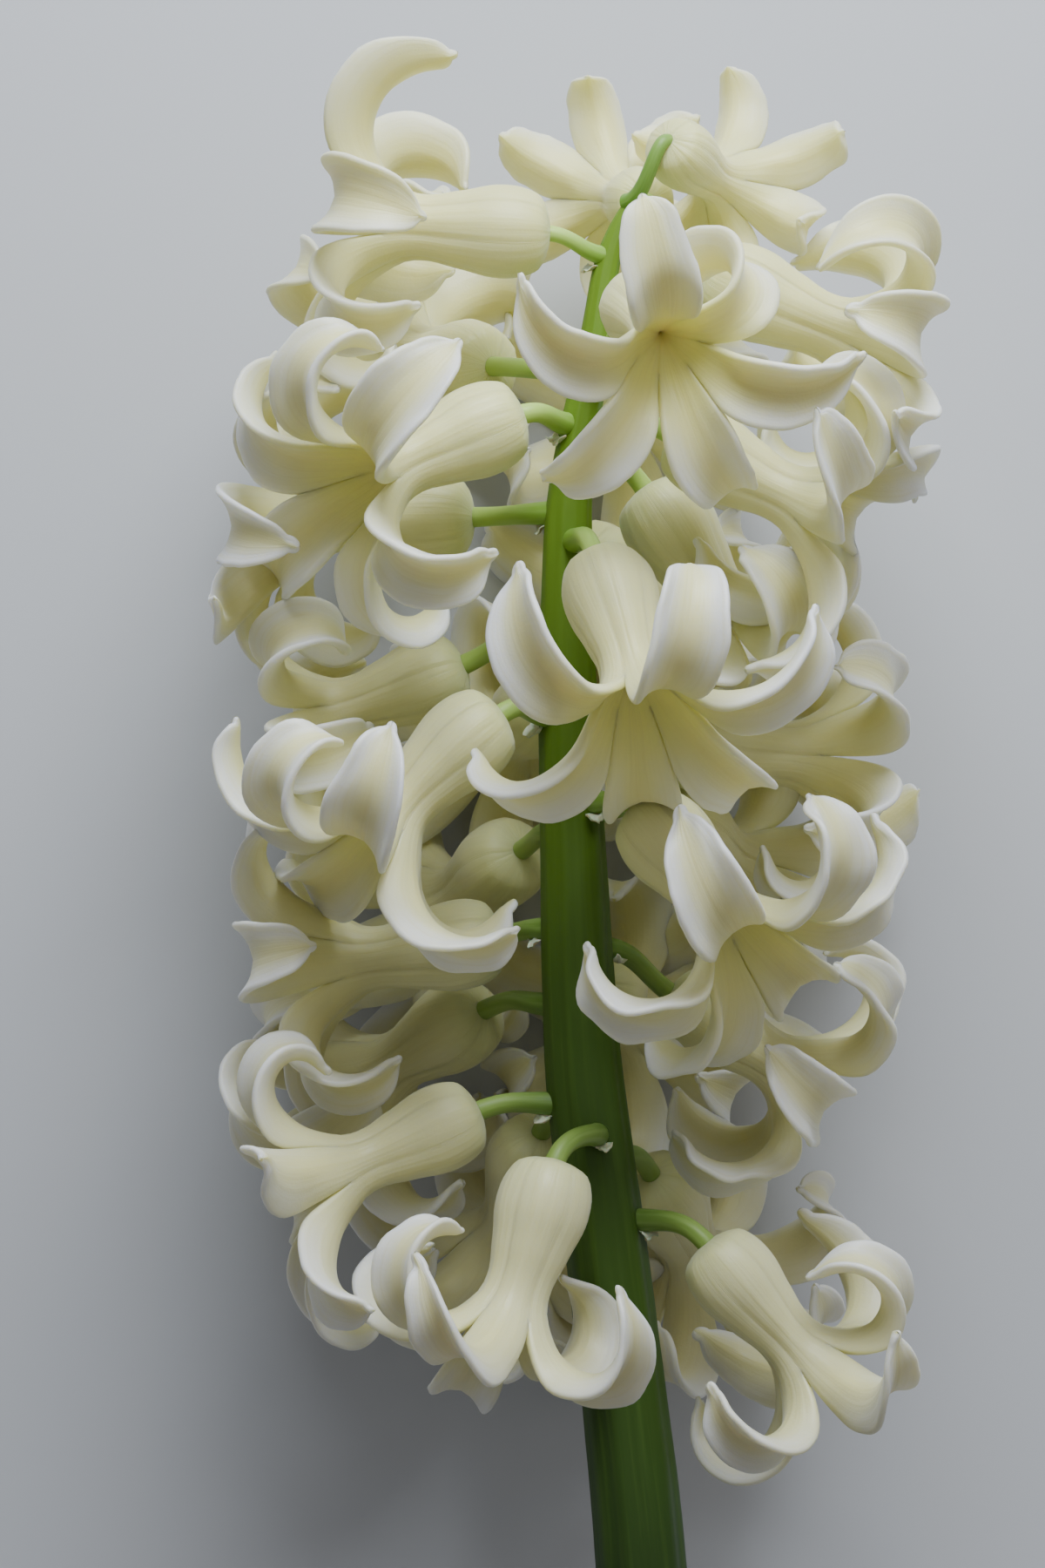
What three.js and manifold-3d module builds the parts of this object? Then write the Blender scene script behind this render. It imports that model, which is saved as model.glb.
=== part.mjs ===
// A cut hyacinth flower: one fleshy stem with a spike of recurved florets, lying on its back.
// Millimetres and degrees. While it is built, y runs up the stem from the cut end, x to the right
// and z towards the side that faces up; the last lines lay it on the surface at z = 0.

import * as THREE from "three";
import Module from "manifold-3d";

const wasm = await Module();
wasm.setup();

// Stem: middle line [x, y, z] and thickness, from the cut end to the tip
const STEM_LINE = [
  [15.2, 0, 0, 9.7],
  [12.2, 40, 0, 9.3],
  [10.4, 58, 0, 8.7],
  [8.2, 76, 0, 8.4],
  [6.4, 90, 0, 8.0],
  [5.6, 103, 0, 7.3],
  [5.2, 113, 0, 6.8],
  [4.7, 127, 0, 6.1],
  [4.6, 141, 0, 5.4],
  [5.0, 152, 0, 4.5],
  [7.4, 166, 0, 3.3],
  [8.8, 175, 0, 2.7],
  [11.2, 181.5, 0.6, 2.4],
];
const STEM_SIDES = 10;

// Pedicels, the stalks of the florets. Each stops a hair short of its floret.
const PEDICEL_ROOT_R = 1.25;
const PEDICEL_END_R = 1.0;
const PEDICEL_SUNK = 1.6;
const PEDICEL_PULL = 0.45;
const PEDICEL_STEPS = 4;
const PEDICEL_SIDES = 5;
const JOINT_GAP = 0.3;

// Floret tube: [distance along it, radius], swollen at the base, waisted, flared at the mouth
const TUBE = [
  [0, 1.5],
  [1.2, 3.7],
  [4.6, 4.8],
  [9.5, 4.0],
  [13.4, 3.4],
  [16.4, 4.4],
];
const WALL = 1.1;
const THROAT_AT = 13.0;
const THROAT_RADIUS = 2.4;
const THROAT_END = 7.5;
const STRAIGHT = 1e-3;

// Tepals: fleshy straps, hollowed along the inner face, that leave the mouth at a slope
const TEPALS = 6;
const TEPAL_LENGTH = 20.5;
const TEPAL_HALF_WIDTH = 4.0;
const WIDEST_AT = 0.42;
const TIP_ROUNDNESS = 0.7;
const TEPAL_THICK = 1.3;
const TIP_THICK = 0.7;
const CUP = 0.3;
const MOUTH_SLOPE = 34;
const TEPAL_STEPS = 48;
const STEPS_A_ROW = 6;

// One row per floret, those seen from above first.
// root: height on the stem and turn round it; base: where the tube starts; aim: turn and rise
// of the tube there; face: the same at its mouth. Turn 0 faces +z and 90 faces +x; rise is up
// the stem. tepals: [turn round the mouth from straight up the stem, how far it rolls back (90
// lies flat open, 360 is a full ring), how late it rolls, how far it leans sideways, twist].
// size scales the floret, and reach and broad the length and width of its tepals.
const FLORETS = [
  { root: [175.5, -70], base: [2.9, 177.6, 2.6], aim: [-88, 1], face: [-100, 6],
    tepals: [[-25, 192, 1, 15, 60], [45, 270, 1.3, 14], [100, 240, 1.5, 0],
      [162, 290, 2, 10], [220, 250, 1.3, 5], [277, 235, 1.2, -10]] },
  { root: [181, 40], base: [14.8, 187.2, 3], aim: [150, -22], face: [150, -5], size: 0.75,
    reach: 0.82,
    tepals: [[-4, 140, 1.4, 0], [66, 130, 1.4, 2], [122, 200, 1.4, -5],
      [180, 260, 1.4, 0], [240, 180, 1.4, 0], [298, 150, 1.4, 0]] },
  { root: [178, -160], base: [13.2, 182, -5], aim: [-165, 5], face: [-165, 12], size: 0.75,
    reach: 0.82,
    tepals: [[-6, 140, 1.4, -8], [54, 115, 1.4, -5], [116, 160, 1.4, -5],
      [176, 240, 1.4, 0], [234, 150, 1.4, 4], [292, 120, 1.4, 4]] },
  { root: [171, 80], base: [18.7, 173.6, 3.6], aim: [85, -28], face: [94, -20],
    tepals: [[26, 260, 1.2, 41], [80, 220, 1.5, 7], [135, 150, 1.7, -25],
      [195, 290, 1.4, -5], [256, 290, 1.4, 0], [320, 235, 1.1, -23]] },
  { root: [163, 25], base: [11, 169.1, 11.9], aim: [14, -8], face: [12, -35], size: 0.88,
    broad: 1.02,
    tepals: [[18, 178, 1.5, -1], [90, 150, 1.4, -28], [144, 166, 1.5, 0],
      [203, 172, 1.5, 10], [258, 130, 1.4, 20], [308, 325, 1, 36]] },
  { root: [158, -60], base: [0.2, 158.8, 5.6], aim: [-86, -20], face: [-66, -27],
    tepals: [[-20, 250, 1.6, -17], [46, 195, 1.7, -17], [100, 120, 1.5, 3],
      [160, 250, 1.8, 0], [223, 210, 1.5, 2], [288, 195, 0.8, 10]] },
  { root: [149, -100], base: [-5, 148.9, -5.6], aim: [-98, -1], face: [-108, 2],
    tepals: [[-34, 230, 1.4, 0], [26, 260, 1.4, 0], [86, 230, 1.4, 0],
      [146, 270, 1.4, 0], [206, 140, 1.4, 38], [266, 235, 1.6, -10]] },
  { root: [137, -100], base: [-6, 133.6, -8], aim: [-98, -22], face: [-95, -17], size: 0.93,
    tepals: [[10, 190, 1.4, 0], [70, 220, 1.4, 0], [130, 240, 1.4, 0],
      [190, 220, 1.4, 0], [250, 280, 1.4, 0], [310, 300, 1.4, 0]] },
  { root: [146, 15], base: [7.5, 143.4, 13], aim: [23, -47], face: [26, -62],
    tepals: [[11, 235, 1.2, -17], [72, 200, 0.7, -12], [137, 200, 1.6, 0],
      [192, 205, 1.5, 19], [250, 155, 1.5, -21], [308, 175, 1.2, 8]] },
  { root: [155, 110], base: [12.6, 152, -4.5], aim: [85, -55], face: [85, -60],
    tepals: [[0, 320, 1.4, 0], [60, 250, 1.4, 8], [120, 220, 1.4, 0],
      [180, 160, 1.4, 0], [240, 230, 1.4, 0], [300, 270, 1.4, 0]] },
  { root: [158, 90], base: [15, 156.6, 7.4], aim: [80, -30], face: [82, -25], size: 0.95,
    tepals: [[85, 150, 0.9, -20], [155, 180, 1.8, 7], [218, 250, 0.9, -8],
      [275, 240, 1.4, 0], [330, 110, 1.4, -45], [30, 240, 1.4, 0]] },
  { root: [135, 100], base: [15, 125, -11], aim: [110, -2], face: [102, -5],
    tepals: [[0, 250, 1.4, -16], [60, 200, 1.4, 0], [120, 220, 1.4, 0],
      [180, 280, 1.4, -8], [240, 230, 1.4, 68], [300, 270, 1.4, 0]] },
  { root: [128, -60], base: [-2, 128.2, 8], aim: [-83, -34], face: [-79, -53],
    tepals: [[-28, 275, 1.7, -13], [38, 180, 1.5, -20], [93, 120, 1.5, -15],
      [157, 210, 1.5, 0], [224, 190, 1.8, -12], [279, 210, 1, 16]] },
  { root: [106, -100], base: [-2, 105.2, -5], aim: [-90, -13], face: [-105, -6],
    tepals: [[-30, 205, 2, 3], [32, 230, 1.4, 0], [97, 260, 1.4, 3],
      [160, 210, 2, -2], [218, 260, 1.3, -9], [276, 240, 1.9, 4]] },
  { root: [88, -80], base: [-4.3, 87.5, 2.7], aim: [-85, -24], face: [-77, -22], size: 0.95,
    tepals: [[-16, 300, 1.8, 5], [45, 190, 1.6, -8], [102, 220, 1.4, 0],
      [161, 185, 1.8, 3], [223, 135, 1.4, 9], [288, 100, 1.4, 0]] },
  { root: [85, 10], base: [3.3, 83.1, 11], aim: [-41, -68], face: [-63, -68], broad: 0.86,
    tepals: [[16, 285, 1.2, -2], [68, 250, 1.4, 22], [126, 130, 1.5, 9],
      [184, 290, 1.2, -18], [250, 235, 1.3, 28], [325, 215, 1.6, 30]] },
  { root: [76, 75], base: [18.7, 74.2, 5], aim: [84, -51], face: [98, -46], size: 0.95,
    broad: 0.88,
    tepals: [[14, 290, 1.1, 14], [76, 165, 1.3, -18], [132, 235, 1.1, -5],
      [192, 225, 1.6, 23], [250, 215, 1, -14], [312, 210, 0.8, -4]] },
  { root: [119, 50], base: [11.9, 118.4, 5], aim: [50, -40], face: [58, -49],
    tepals: [[66, 210, 0.9, -15], [130, 230, 1.3, -9], [194, 205, 1.8, -4],
      [252, 205, 1.5, -16], [311, 200, 1.5, 9], [9, 205, 1.4, 0]] },
  { root: [104, 110], base: [15.2, 99.3, -5.4], aim: [99, -34], face: [98, -32], size: 0.93,
    tepals: [[-19, 255, 1.7, 10], [43, 210, 1.3, 1], [105, 220, 1.1, -15],
      [158, 230, 1, 7], [222, 235, 1, 6], [280, 250, 1.4, 0]] },
  { root: [164, -130], base: [-3, 165, -9], aim: [-145, 5], face: [-145, 13],
    tepals: [[0, 205, 1.4, 0], [60, 260, 1.4, 0], [120, 230, 1.4, 0],
      [180, 285, 1.4, 0], [240, 190, 1.4, 0], [300, 215, 1.4, 0]] },
  { root: [116, -150], base: [0, 114, -13.2], aim: [-150, -20], face: [-150, -20],
    tepals: [[0, 210, 1.4, 0], [60, 235, 1.4, 0], [120, 200, 1.4, 0],
      [180, 255, 1.4, -15], [240, 165, 1.4, 0], [300, 280, 1.4, 0]] },
  { root: [98, -130], base: [-4, 97, -12.9], aim: [-134, -22], face: [-130, -30],
    tepals: [[0, 185, 1.4, 0], [60, 210, 1.4, 0], [120, 265, 1.4, 0],
      [180, 230, 1.4, 0], [240, 285, 1.4, 0], [300, 250, 1.4, 0]] },
  { root: [87, -160], base: [2, 84, -13.2], aim: [-160, -45], face: [-164, -45],
    tepals: [[0, 220, 1.4, 0], [60, 275, 1.4, 0], [120, 240, 1.4, 8],
      [180, 205, 1.4, 0], [240, 260, 1.4, 0], [300, 225, 1.4, 0]] },
  { root: [82, 150], base: [13.6, 79.6, -13.3], aim: [155, -40], face: [158, -38],
    tepals: [[0, 280, 1.4, 0], [60, 245, 1.4, 0], [120, 215, 1.4, -15],
      [180, 270, 1.4, 0], [240, 215, 1.4, 0], [300, 230, 1.4, 15]] },
  { root: [118, 140], base: [15, 118, -12], aim: [148, -22], face: [148, -18],
    tepals: [[0, 315, 1.4, 0], [60, 120, 1.4, 0], [120, 275, 1.4, 0],
      [180, 240, 1.4, 0], [240, 130, 1.4, 0], [300, 265, 1.4, 0]] },
  { root: [165, 170], base: [8, 165, -12], aim: [170, -10], face: [166, -10],
    tepals: [[0, 230, 1.4, 0], [60, 285, 1.4, 0], [120, 250, 1.4, 0],
      [180, 235, 1.4, 0], [240, 270, 1.4, 0], [300, 235, 1.4, 0]] },
  { root: [147, 165], base: [7, 146, -13], aim: [165, -23], face: [165, -15],
    tepals: [[0, 205, 1.4, 0], [60, 260, 1.4, 0], [120, 225, 1.4, 0],
      [180, 280, 1.4, 0], [240, 265, 1.4, 0], [300, 210, 1.4, 0]] },
  { root: [132, -165], base: [3, 130, -13.3], aim: [-161, -15], face: [-165, -15],
    tepals: [[0, 265, 1.4, 0], [60, 230, 1.4, 0], [120, 290, 1.4, 0],
      [180, 235, 1.4, -8], [240, 220, 1.4, 0], [300, 275, 1.4, 0]] },
  { root: [102, 165], base: [8, 100, -12], aim: [173, -19], face: [165, -15],
    tepals: [[0, 260, 1.4, 0], [60, 165, 1.4, 0], [120, 260, 1.4, 8],
      [180, 225, 1.4, 0], [240, 285, 1.4, 0], [300, 190, 1.4, 0]] },
];

const DEG = Math.PI / 180;

function towards([turn, rise]) {
  const flat = Math.cos(rise * DEG);
  return new THREE.Vector3(
    flat * Math.sin(turn * DEG),
    Math.sin(rise * DEG),
    flat * Math.cos(turn * DEG),
  );
}

// A closed skin put together from points and triangles
class Skin {
  points = [];
  faces = [];

  put(point) {
    return this.points.push(point) - 1;
  }

  // A band between two rings of points, and the fans that close a ring
  band(lower, upper) {
    lower.forEach((a, k) => {
      const b = lower[(k + 1) % lower.length];
      const c = upper[(k + 1) % upper.length];
      this.faces.push([a, b, c], [a, c, upper[k]]);
    });
  }

  closeStart(ring) {
    for (let k = 1; k < ring.length - 1; k++) this.faces.push([ring[0], ring[k + 1], ring[k]]);
  }

  closeEnd(ring) {
    for (let k = 1; k < ring.length - 1; k++) this.faces.push([ring[0], ring[k], ring[k + 1]]);
  }

  closeToPoint(ring, point) {
    ring.forEach((a, k) => this.faces.push([a, ring[(k + 1) % ring.length], point]));
  }

  solid() {
    return new wasm.Manifold(
      new wasm.Mesh({
        numProp: 3,
        vertProperties: new Float32Array(this.points.flatMap((p) => p.toArray())),
        triVerts: new Uint32Array(this.faces.flat()),
      }),
    );
  }
}

function geometryOf(solid) {
  const mesh = solid.getMesh();
  const geometry = new THREE.BufferGeometry();
  const places = new Float32Array(mesh.vertProperties);
  geometry.setAttribute("position", new THREE.BufferAttribute(places, 3));
  geometry.setIndex(new THREE.BufferAttribute(new Uint32Array(mesh.triVerts), 1));
  geometry.computeVertexNormals();
  return geometry;
}

// A point beside a line: frame holds a centre and two directions square to the line
function beside(frame, radius, angle) {
  return frame.centre
    .clone()
    .addScaledVector(frame.first, radius * Math.cos(angle))
    .addScaledVector(frame.second, radius * Math.sin(angle));
}

// A round rod through stations, each a centre, a radius and the direction of the rod there
function rod(stations, sides) {
  const skin = new Skin();
  let first = new THREE.Vector3(1, 0, 0);
  const rings = stations.map(({ centre, radius, along }) => {
    first = first.clone().addScaledVector(along, -first.dot(along)).normalize();
    const frame = { centre, first, second: along.clone().cross(first) };
    return Array.from({ length: sides }, (_, k) =>
      skin.put(beside(frame, radius, (2 * Math.PI * k) / sides)),
    );
  });
  for (let i = 0; i + 1 < rings.length; i++) skin.band(rings[i], rings[i + 1]);
  skin.closeStart(rings[0]);
  skin.closeEnd(rings[rings.length - 1]);
  return skin.solid();
}

const stemCurve = new THREE.CatmullRomCurve3(
  STEM_LINE.map(([x, y, z]) => new THREE.Vector3(x, y, z)),
);

// Where the stem is at a height, and how thick
function stemAt(height) {
  const above = STEM_LINE.findIndex(([, y]) => y > height);
  const i = above < 0 ? STEM_LINE.length - 2 : above - 1;
  const share = (height - STEM_LINE[i][1]) / (STEM_LINE[i + 1][1] - STEM_LINE[i][1]);
  const [x, y, z, thick] = STEM_LINE[i].map((v, k) => v + (STEM_LINE[i + 1][k] - v) * share);
  return { centre: new THREE.Vector3(x, y, z), radius: thick / 2 };
}

// Pedicel: a curved stalk from inside the stem to just short of the floret's base
function pedicel({ root: [height, turn], base, aim }) {
  const { centre, radius } = stemAt(height);
  const out = towards([turn, 0]);
  const start = centre.addScaledVector(out, radius - PEDICEL_SUNK);
  const end = new THREE.Vector3(...base).addScaledVector(towards(aim), -JOINT_GAP);
  const pull = start.distanceTo(end) * PEDICEL_PULL;
  const curve = new THREE.CubicBezierCurve3(
    start,
    start.clone().addScaledVector(out, pull),
    end.clone().addScaledVector(towards(aim), -pull),
    end,
  );
  const stations = Array.from({ length: PEDICEL_STEPS + 1 }, (_, i) => {
    const t = i / PEDICEL_STEPS;
    return {
      centre: curve.getPoint(t),
      radius: PEDICEL_ROOT_R + (PEDICEL_END_R - PEDICEL_ROOT_R) * t,
      along: curve.getTangent(t),
    };
  });
  return rod(stations, PEDICEL_SIDES);
}

function stem() {
  const stations = STEM_LINE.map(([x, y, z, thick], i) => ({
    centre: new THREE.Vector3(x, y, z),
    radius: thick / 2,
    along: stemCurve.getTangent(i / (STEM_LINE.length - 1)),
  }));
  const axis = rod(stations, STEM_SIDES);
  return FLORETS.reduce((whole, floret) => whole.add(pedicel(floret)), axis);
}

// The tube's frame at a distance along it: the tube bends evenly from its aim to its face
function tubeFrames(row, size) {
  const length = TUBE[TUBE.length - 1][0] * size;
  const aim = towards(row.aim);
  const face = towards(row.face);
  const bend = aim.angleTo(face);
  const wholeTurn = new THREE.Quaternion().setFromUnitVectors(aim, face);
  const up = new THREE.Vector3(0, 1, 0).addScaledVector(aim, -aim.y).normalize();
  const inward = face.clone().addScaledVector(aim, -face.dot(aim)).normalize();
  return (distance) => {
    const share = distance / length;
    const turn = new THREE.Quaternion().slerp(wholeTurn, share);
    const along = aim.clone().applyQuaternion(turn);
    const first = up.clone().applyQuaternion(turn);
    const centre = new THREE.Vector3(...row.base);
    if (bend < STRAIGHT) centre.addScaledVector(aim, distance);
    else
      centre
        .addScaledVector(aim, (length / bend) * Math.sin(bend * share))
        .addScaledVector(inward, (length / bend) * (1 - Math.cos(bend * share)));
    return { centre, along, first, second: along.clone().cross(first) };
  };
}

// Half the tepal's width: its share of the mouth, widest near the middle, then round to the tip
function halfWidth(t, atMouth, widest) {
  if (t < WIDEST_AT) {
    const u = t / WIDEST_AT;
    return atMouth + (widest - atMouth) * Math.sin((u * Math.PI) / 2) ** 2;
  }
  const u = (t - WIDEST_AT) / (1 - WIDEST_AT);
  return widest * Math.pow(1 - u * u, TIP_ROUNDNESS);
}

// The four points round a tepal: left edge, outer face, right edge, inner face
function tepalRow(middle, across, normal, half, cup, thick) {
  const at = (sideways, up) =>
    middle.clone().addScaledVector(across, sideways).addScaledVector(normal, up);
  return [at(-half, cup), at(0, -thick / 2), at(half, cup), at(0, thick / 2)];
}

// One tepal's rows from the mouth to the tip. Its middle line leaves the mouth at a slope to the
// floret's axis that grows to the roll-back at the tip, and is followed in short steps.
function tepalRows(mouth, radius, { length, halfWide }, [turn, curl, late, lean, twist = 0]) {
  const step = length / TEPAL_STEPS;
  const slope = (t) => (MOUTH_SLOPE + (curl - MOUTH_SLOPE) * Math.pow(t, late)) * DEG;
  const atMouth = radius * Math.sin(Math.PI / TEPALS);
  const hollow = radius * (1 - Math.cos(Math.PI / TEPALS));
  const rows = [];
  let out = radius;
  let ahead = 0;
  for (let i = 1; i <= TEPAL_STEPS; i++) {
    const halfway = slope((i - 0.5) / TEPAL_STEPS);
    out += step * Math.sin(halfway);
    ahead += step * Math.cos(halfway);
    if (i % STEPS_A_ROW) continue;
    const t = i / TEPAL_STEPS;
    const angle = (turn + lean * t * t) * DEG;
    const level = { centre: new THREE.Vector3(), first: mouth.first, second: mouth.second };
    const radial = beside(level, 1, angle);
    const across = beside(level, 1, angle + Math.PI / 2);
    const normal = mouth.along.clone().multiplyScalar(Math.sin(slope(t)));
    normal.addScaledVector(radial, -Math.cos(slope(t)));
    const tangent = normal.clone().cross(across);
    normal.applyAxisAngle(tangent, twist * DEG * t);
    across.applyAxisAngle(tangent, twist * DEG * t);
    const middle = mouth.centre.clone();
    middle.addScaledVector(radial, out).addScaledVector(mouth.along, ahead);
    const half = halfWidth(t, atMouth, halfWide);
    const cup = hollow * (1 - t) + CUP * half * Math.sin(Math.PI * t);
    const thick = TEPAL_THICK + (TIP_THICK - TEPAL_THICK) * t * t;
    if (i < TEPAL_STEPS) rows.push(tepalRow(middle, across, normal, half, cup, thick));
    else rows.push([middle]);
  }
  return rows;
}

// Turns of the tube's columns: the middle of each tepal and the notch after it
function columnTurns(tepals) {
  return tepals.flatMap(([turn], k) => {
    const [next] = tepals[(k + 1) % TEPALS];
    const gap = (((next - turn) % 360) + 360) % 360;
    return [turn * DEG, (turn + gap / 2) * DEG];
  });
}

// A floret: a hollow tube and six tepals as one closed skin
function floret(row) {
  const { size = 1, reach = 1, broad = 1 } = row;
  const frameAt = tubeFrames(row, size);
  const turns = columnTurns(row.tepals);
  const skin = new Skin();
  const ring = ([distance, radius]) => {
    const frame = frameAt(distance * size);
    return turns.map((turn) => skin.put(beside(frame, radius * size, turn)));
  };

  const outside = TUBE.map(ring);
  for (let i = 0; i + 1 < outside.length; i++) skin.band(outside[i], outside[i + 1]);
  skin.closeStart(outside[0]);

  const [mouthAt, mouthRadius] = TUBE[TUBE.length - 1];
  const lip = ring([mouthAt, mouthRadius - WALL]);
  const throat = ring([THROAT_AT, THROAT_RADIUS]);
  skin.band(lip, throat);
  skin.closeToPoint(throat, skin.put(frameAt(THROAT_END * size).centre));

  const mouth = frameAt(mouthAt * size);
  const rim = outside[outside.length - 1];
  const wallRadius = (mouthRadius - WALL / 2) * size;
  const strap = {
    length: TEPAL_LENGTH * size * reach,
    halfWide: TEPAL_HALF_WIDTH * size * broad,
  };
  row.tepals.forEach((tepal, k) => {
    const rows = tepalRows(mouth, wallRadius, strap, tepal).map((points) =>
      points.map((point) => skin.put(point)),
    );
    joinToMouth(skin, rim, lip, rows[0], 2 * k);
    for (let i = 0; i + 2 < rows.length; i++) tepalBand(skin, rows[i], rows[i + 1]);
    skin.closeToPoint(rows[rows.length - 2], rows[rows.length - 1][0]);
  });
  return skin.solid();
}

// The first row of a tepal sewn to its share of the tube's outer rim and inner lip
function joinToMouth(skin, rim, lip, [left, outer, right, inner], middle) {
  const before = (middle + rim.length - 1) % rim.length;
  const after = middle + 1;
  skin.faces.push([rim[before], rim[middle], outer], [rim[before], outer, left]);
  skin.faces.push([rim[middle], rim[after], right], [rim[middle], right, outer]);
  skin.faces.push([lip[before], inner, lip[middle]], [lip[before], left, inner]);
  skin.faces.push([lip[middle], right, lip[after]], [lip[middle], inner, right]);
  skin.faces.push([rim[before], left, lip[before]], [rim[after], lip[after], right]);
}

// Both faces of a tepal are split along the same diagonals, so that they never cross
function tepalBand(skin, row, next) {
  row.forEach((a, c) => {
    const b = row[(c + 1) % row.length];
    const d = next[c];
    const e = next[(c + 1) % row.length];
    if (c % 2) skin.faces.push([a, b, e], [a, e, d]);
    else skin.faces.push([a, b, d], [b, e, d]);
  });
}

const flower = new THREE.Group();

function add(name, solid, material) {
  const mesh = new THREE.Mesh(geometryOf(solid), material);
  mesh.name = name;
  flower.add(mesh);
}

const green = new THREE.MeshStandardMaterial({ color: 0x4c7d20, roughness: 0.5, metalness: 0 });
const cream = () =>
  new THREE.MeshStandardMaterial({ color: 0xe6e4c4, roughness: 0.55, metalness: 0 });

add("stem", stem(), green);
FLORETS.forEach((row, i) => add(`floret_${String(i + 1).padStart(2, "0")}`, floret(row), cream()));

// Laid on the surface with the middle of its outline over the origin
const outline = new THREE.Box3().setFromObject(flower);
const middle = outline.getCenter(new THREE.Vector3());
flower.position.set(-middle.x, -middle.y, -outline.min.z);

export default flower;
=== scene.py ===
# %% [markdown]
# # A cut hyacinth flower, lying on its back
# A hyacinth spike is one fleshy stem that carries some thirty florets. Each floret is a waxy tube
# that opens into six tepals, straps of thick petal flesh that roll back over themselves. Nothing
# here is flat or straight, yet everything follows a few rules, so the florets, the stem, the
# stalks and the small scales are all grown by Geometry Nodes from named sizes.
#
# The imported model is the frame: it says where the flower lies and how far it reaches. The pieces
# made below take the place of its plain solids.

# %% Load the frame
import math
import random
from collections import namedtuple

import bpy
from mathutils import Matrix, Vector


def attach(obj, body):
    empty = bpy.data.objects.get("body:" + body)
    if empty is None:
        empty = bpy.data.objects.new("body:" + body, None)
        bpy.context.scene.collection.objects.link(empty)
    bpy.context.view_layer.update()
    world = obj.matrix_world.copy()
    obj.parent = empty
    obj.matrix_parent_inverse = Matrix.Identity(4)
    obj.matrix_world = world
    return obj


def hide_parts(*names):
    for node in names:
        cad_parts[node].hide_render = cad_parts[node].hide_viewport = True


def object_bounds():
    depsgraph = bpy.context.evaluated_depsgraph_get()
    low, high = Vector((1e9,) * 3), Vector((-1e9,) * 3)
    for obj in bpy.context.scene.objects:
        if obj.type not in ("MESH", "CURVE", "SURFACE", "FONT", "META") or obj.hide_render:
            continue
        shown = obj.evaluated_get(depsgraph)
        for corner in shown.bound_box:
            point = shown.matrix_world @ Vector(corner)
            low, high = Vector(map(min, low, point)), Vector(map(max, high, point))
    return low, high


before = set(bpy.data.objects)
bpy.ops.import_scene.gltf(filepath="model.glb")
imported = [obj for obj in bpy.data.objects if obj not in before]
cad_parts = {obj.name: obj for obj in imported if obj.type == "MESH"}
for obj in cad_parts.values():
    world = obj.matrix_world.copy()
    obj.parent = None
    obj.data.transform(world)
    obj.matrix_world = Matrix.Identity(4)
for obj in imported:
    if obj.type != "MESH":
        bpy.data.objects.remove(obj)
cad_low, cad_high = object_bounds()
print(f"{len(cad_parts)} nodes, box {[round(v * 1000, 1) for v in cad_high - cad_low]} mm")

# %% [markdown]
# ## Where the flower lies
# Flowers are easiest to measure as they grow: y runs up the stem from the cut end, x to the right
# and z towards the side that faces up. Those are the plant's own axes, in millimetres. The model
# is the same flower laid on a table, so all that is left is one shift. The ring of corners round
# the stem's cut end gives it, so the pieces follow if the flower is laid down anew.

# %% The stem's middle line and the shift to the table
MM = 0.001

# Middle of the stem [x, y, z] and its thickness, from the cut end to the tip
STEM_LINE = [
    (15.2, 0, 0, 9.7), (12.2, 40, 0, 9.3), (10.4, 58, 0, 8.7), (8.2, 76, 0, 8.4),
    (6.4, 90, 0, 8.0), (5.6, 103, 0, 7.3), (5.2, 113, 0, 6.8), (4.7, 127, 0, 6.1),
    (4.6, 141, 0, 5.4), (5.0, 152, 0, 4.5), (7.4, 166, 0, 3.3), (8.8, 175, 0, 2.7),
    (11.2, 181.5, 0.6, 2.4),
]
CUT_END_REACH = 0.002
CORNER_DIGITS = 7

corners = [Vector(v.co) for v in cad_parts["stem"].data.vertices]
lowest_y = min(c.y for c in corners)
cut_ring = {tuple(round(x, CORNER_DIGITS) for x in c) for c in corners
            if c.y < lowest_y + CUT_END_REACH}
cut_middle = sum((Vector(c) for c in cut_ring), Vector()) / len(cut_ring)
LAID = cut_middle - Vector(STEM_LINE[0][:3]) * MM
print(f"{len(cut_ring)} corners round the cut end; shift {[round(v * 1000, 2) for v in LAID]} mm")

# %% [markdown]
# ## Formulas as nodes
# A node tree is a formula drawn as boxes, and a long formula makes a great many boxes. A small
# helper class lets the script write the formula instead: a Field stands for one output socket, and
# adding or multiplying two Fields lays the Math node that does it. What comes out is an ordinary
# tree that can be opened and read in the Geometry Nodes editor.

# %% A socket that can be used in a sum
class Field:
    def __init__(self, socket):
        self.socket = socket

    def __add__(self, other):
        return maths("ADD", self, other)

    def __radd__(self, other):
        return maths("ADD", other, self)

    def __sub__(self, other):
        return maths("SUBTRACT", self, other)

    def __rsub__(self, other):
        return maths("SUBTRACT", other, self)

    def __mul__(self, other):
        return maths("MULTIPLY", self, other)

    def __rmul__(self, other):
        return maths("MULTIPLY", other, self)

    def __truediv__(self, other):
        return maths("DIVIDE", self, other)

    def __pow__(self, other):
        return maths("POWER", self, other)


def node_for(kind, *values, tree=None, out=0, **settings):
    """Lays one node, wires values to its first sockets in order and returns one of its outputs."""
    tree = tree or next(v.socket.id_data for v in values if isinstance(v, Field))
    node = tree.nodes.new(kind)
    for name, setting in settings.items():
        setattr(node, name, setting)
    for value, socket in zip(values, node.inputs):
        if isinstance(value, Field):
            tree.links.new(value.socket, socket)
        elif value is not None:
            socket.default_value = value
    return Field(node.outputs[out])


def geo(kind, *values, **settings):
    return node_for("GeometryNode" + kind, *values, **settings)


def maths(operation, *values, **settings):
    return node_for("ShaderNodeMath", *values, operation=operation, **settings)


def sine(angle):
    return maths("SINE", angle)


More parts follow.
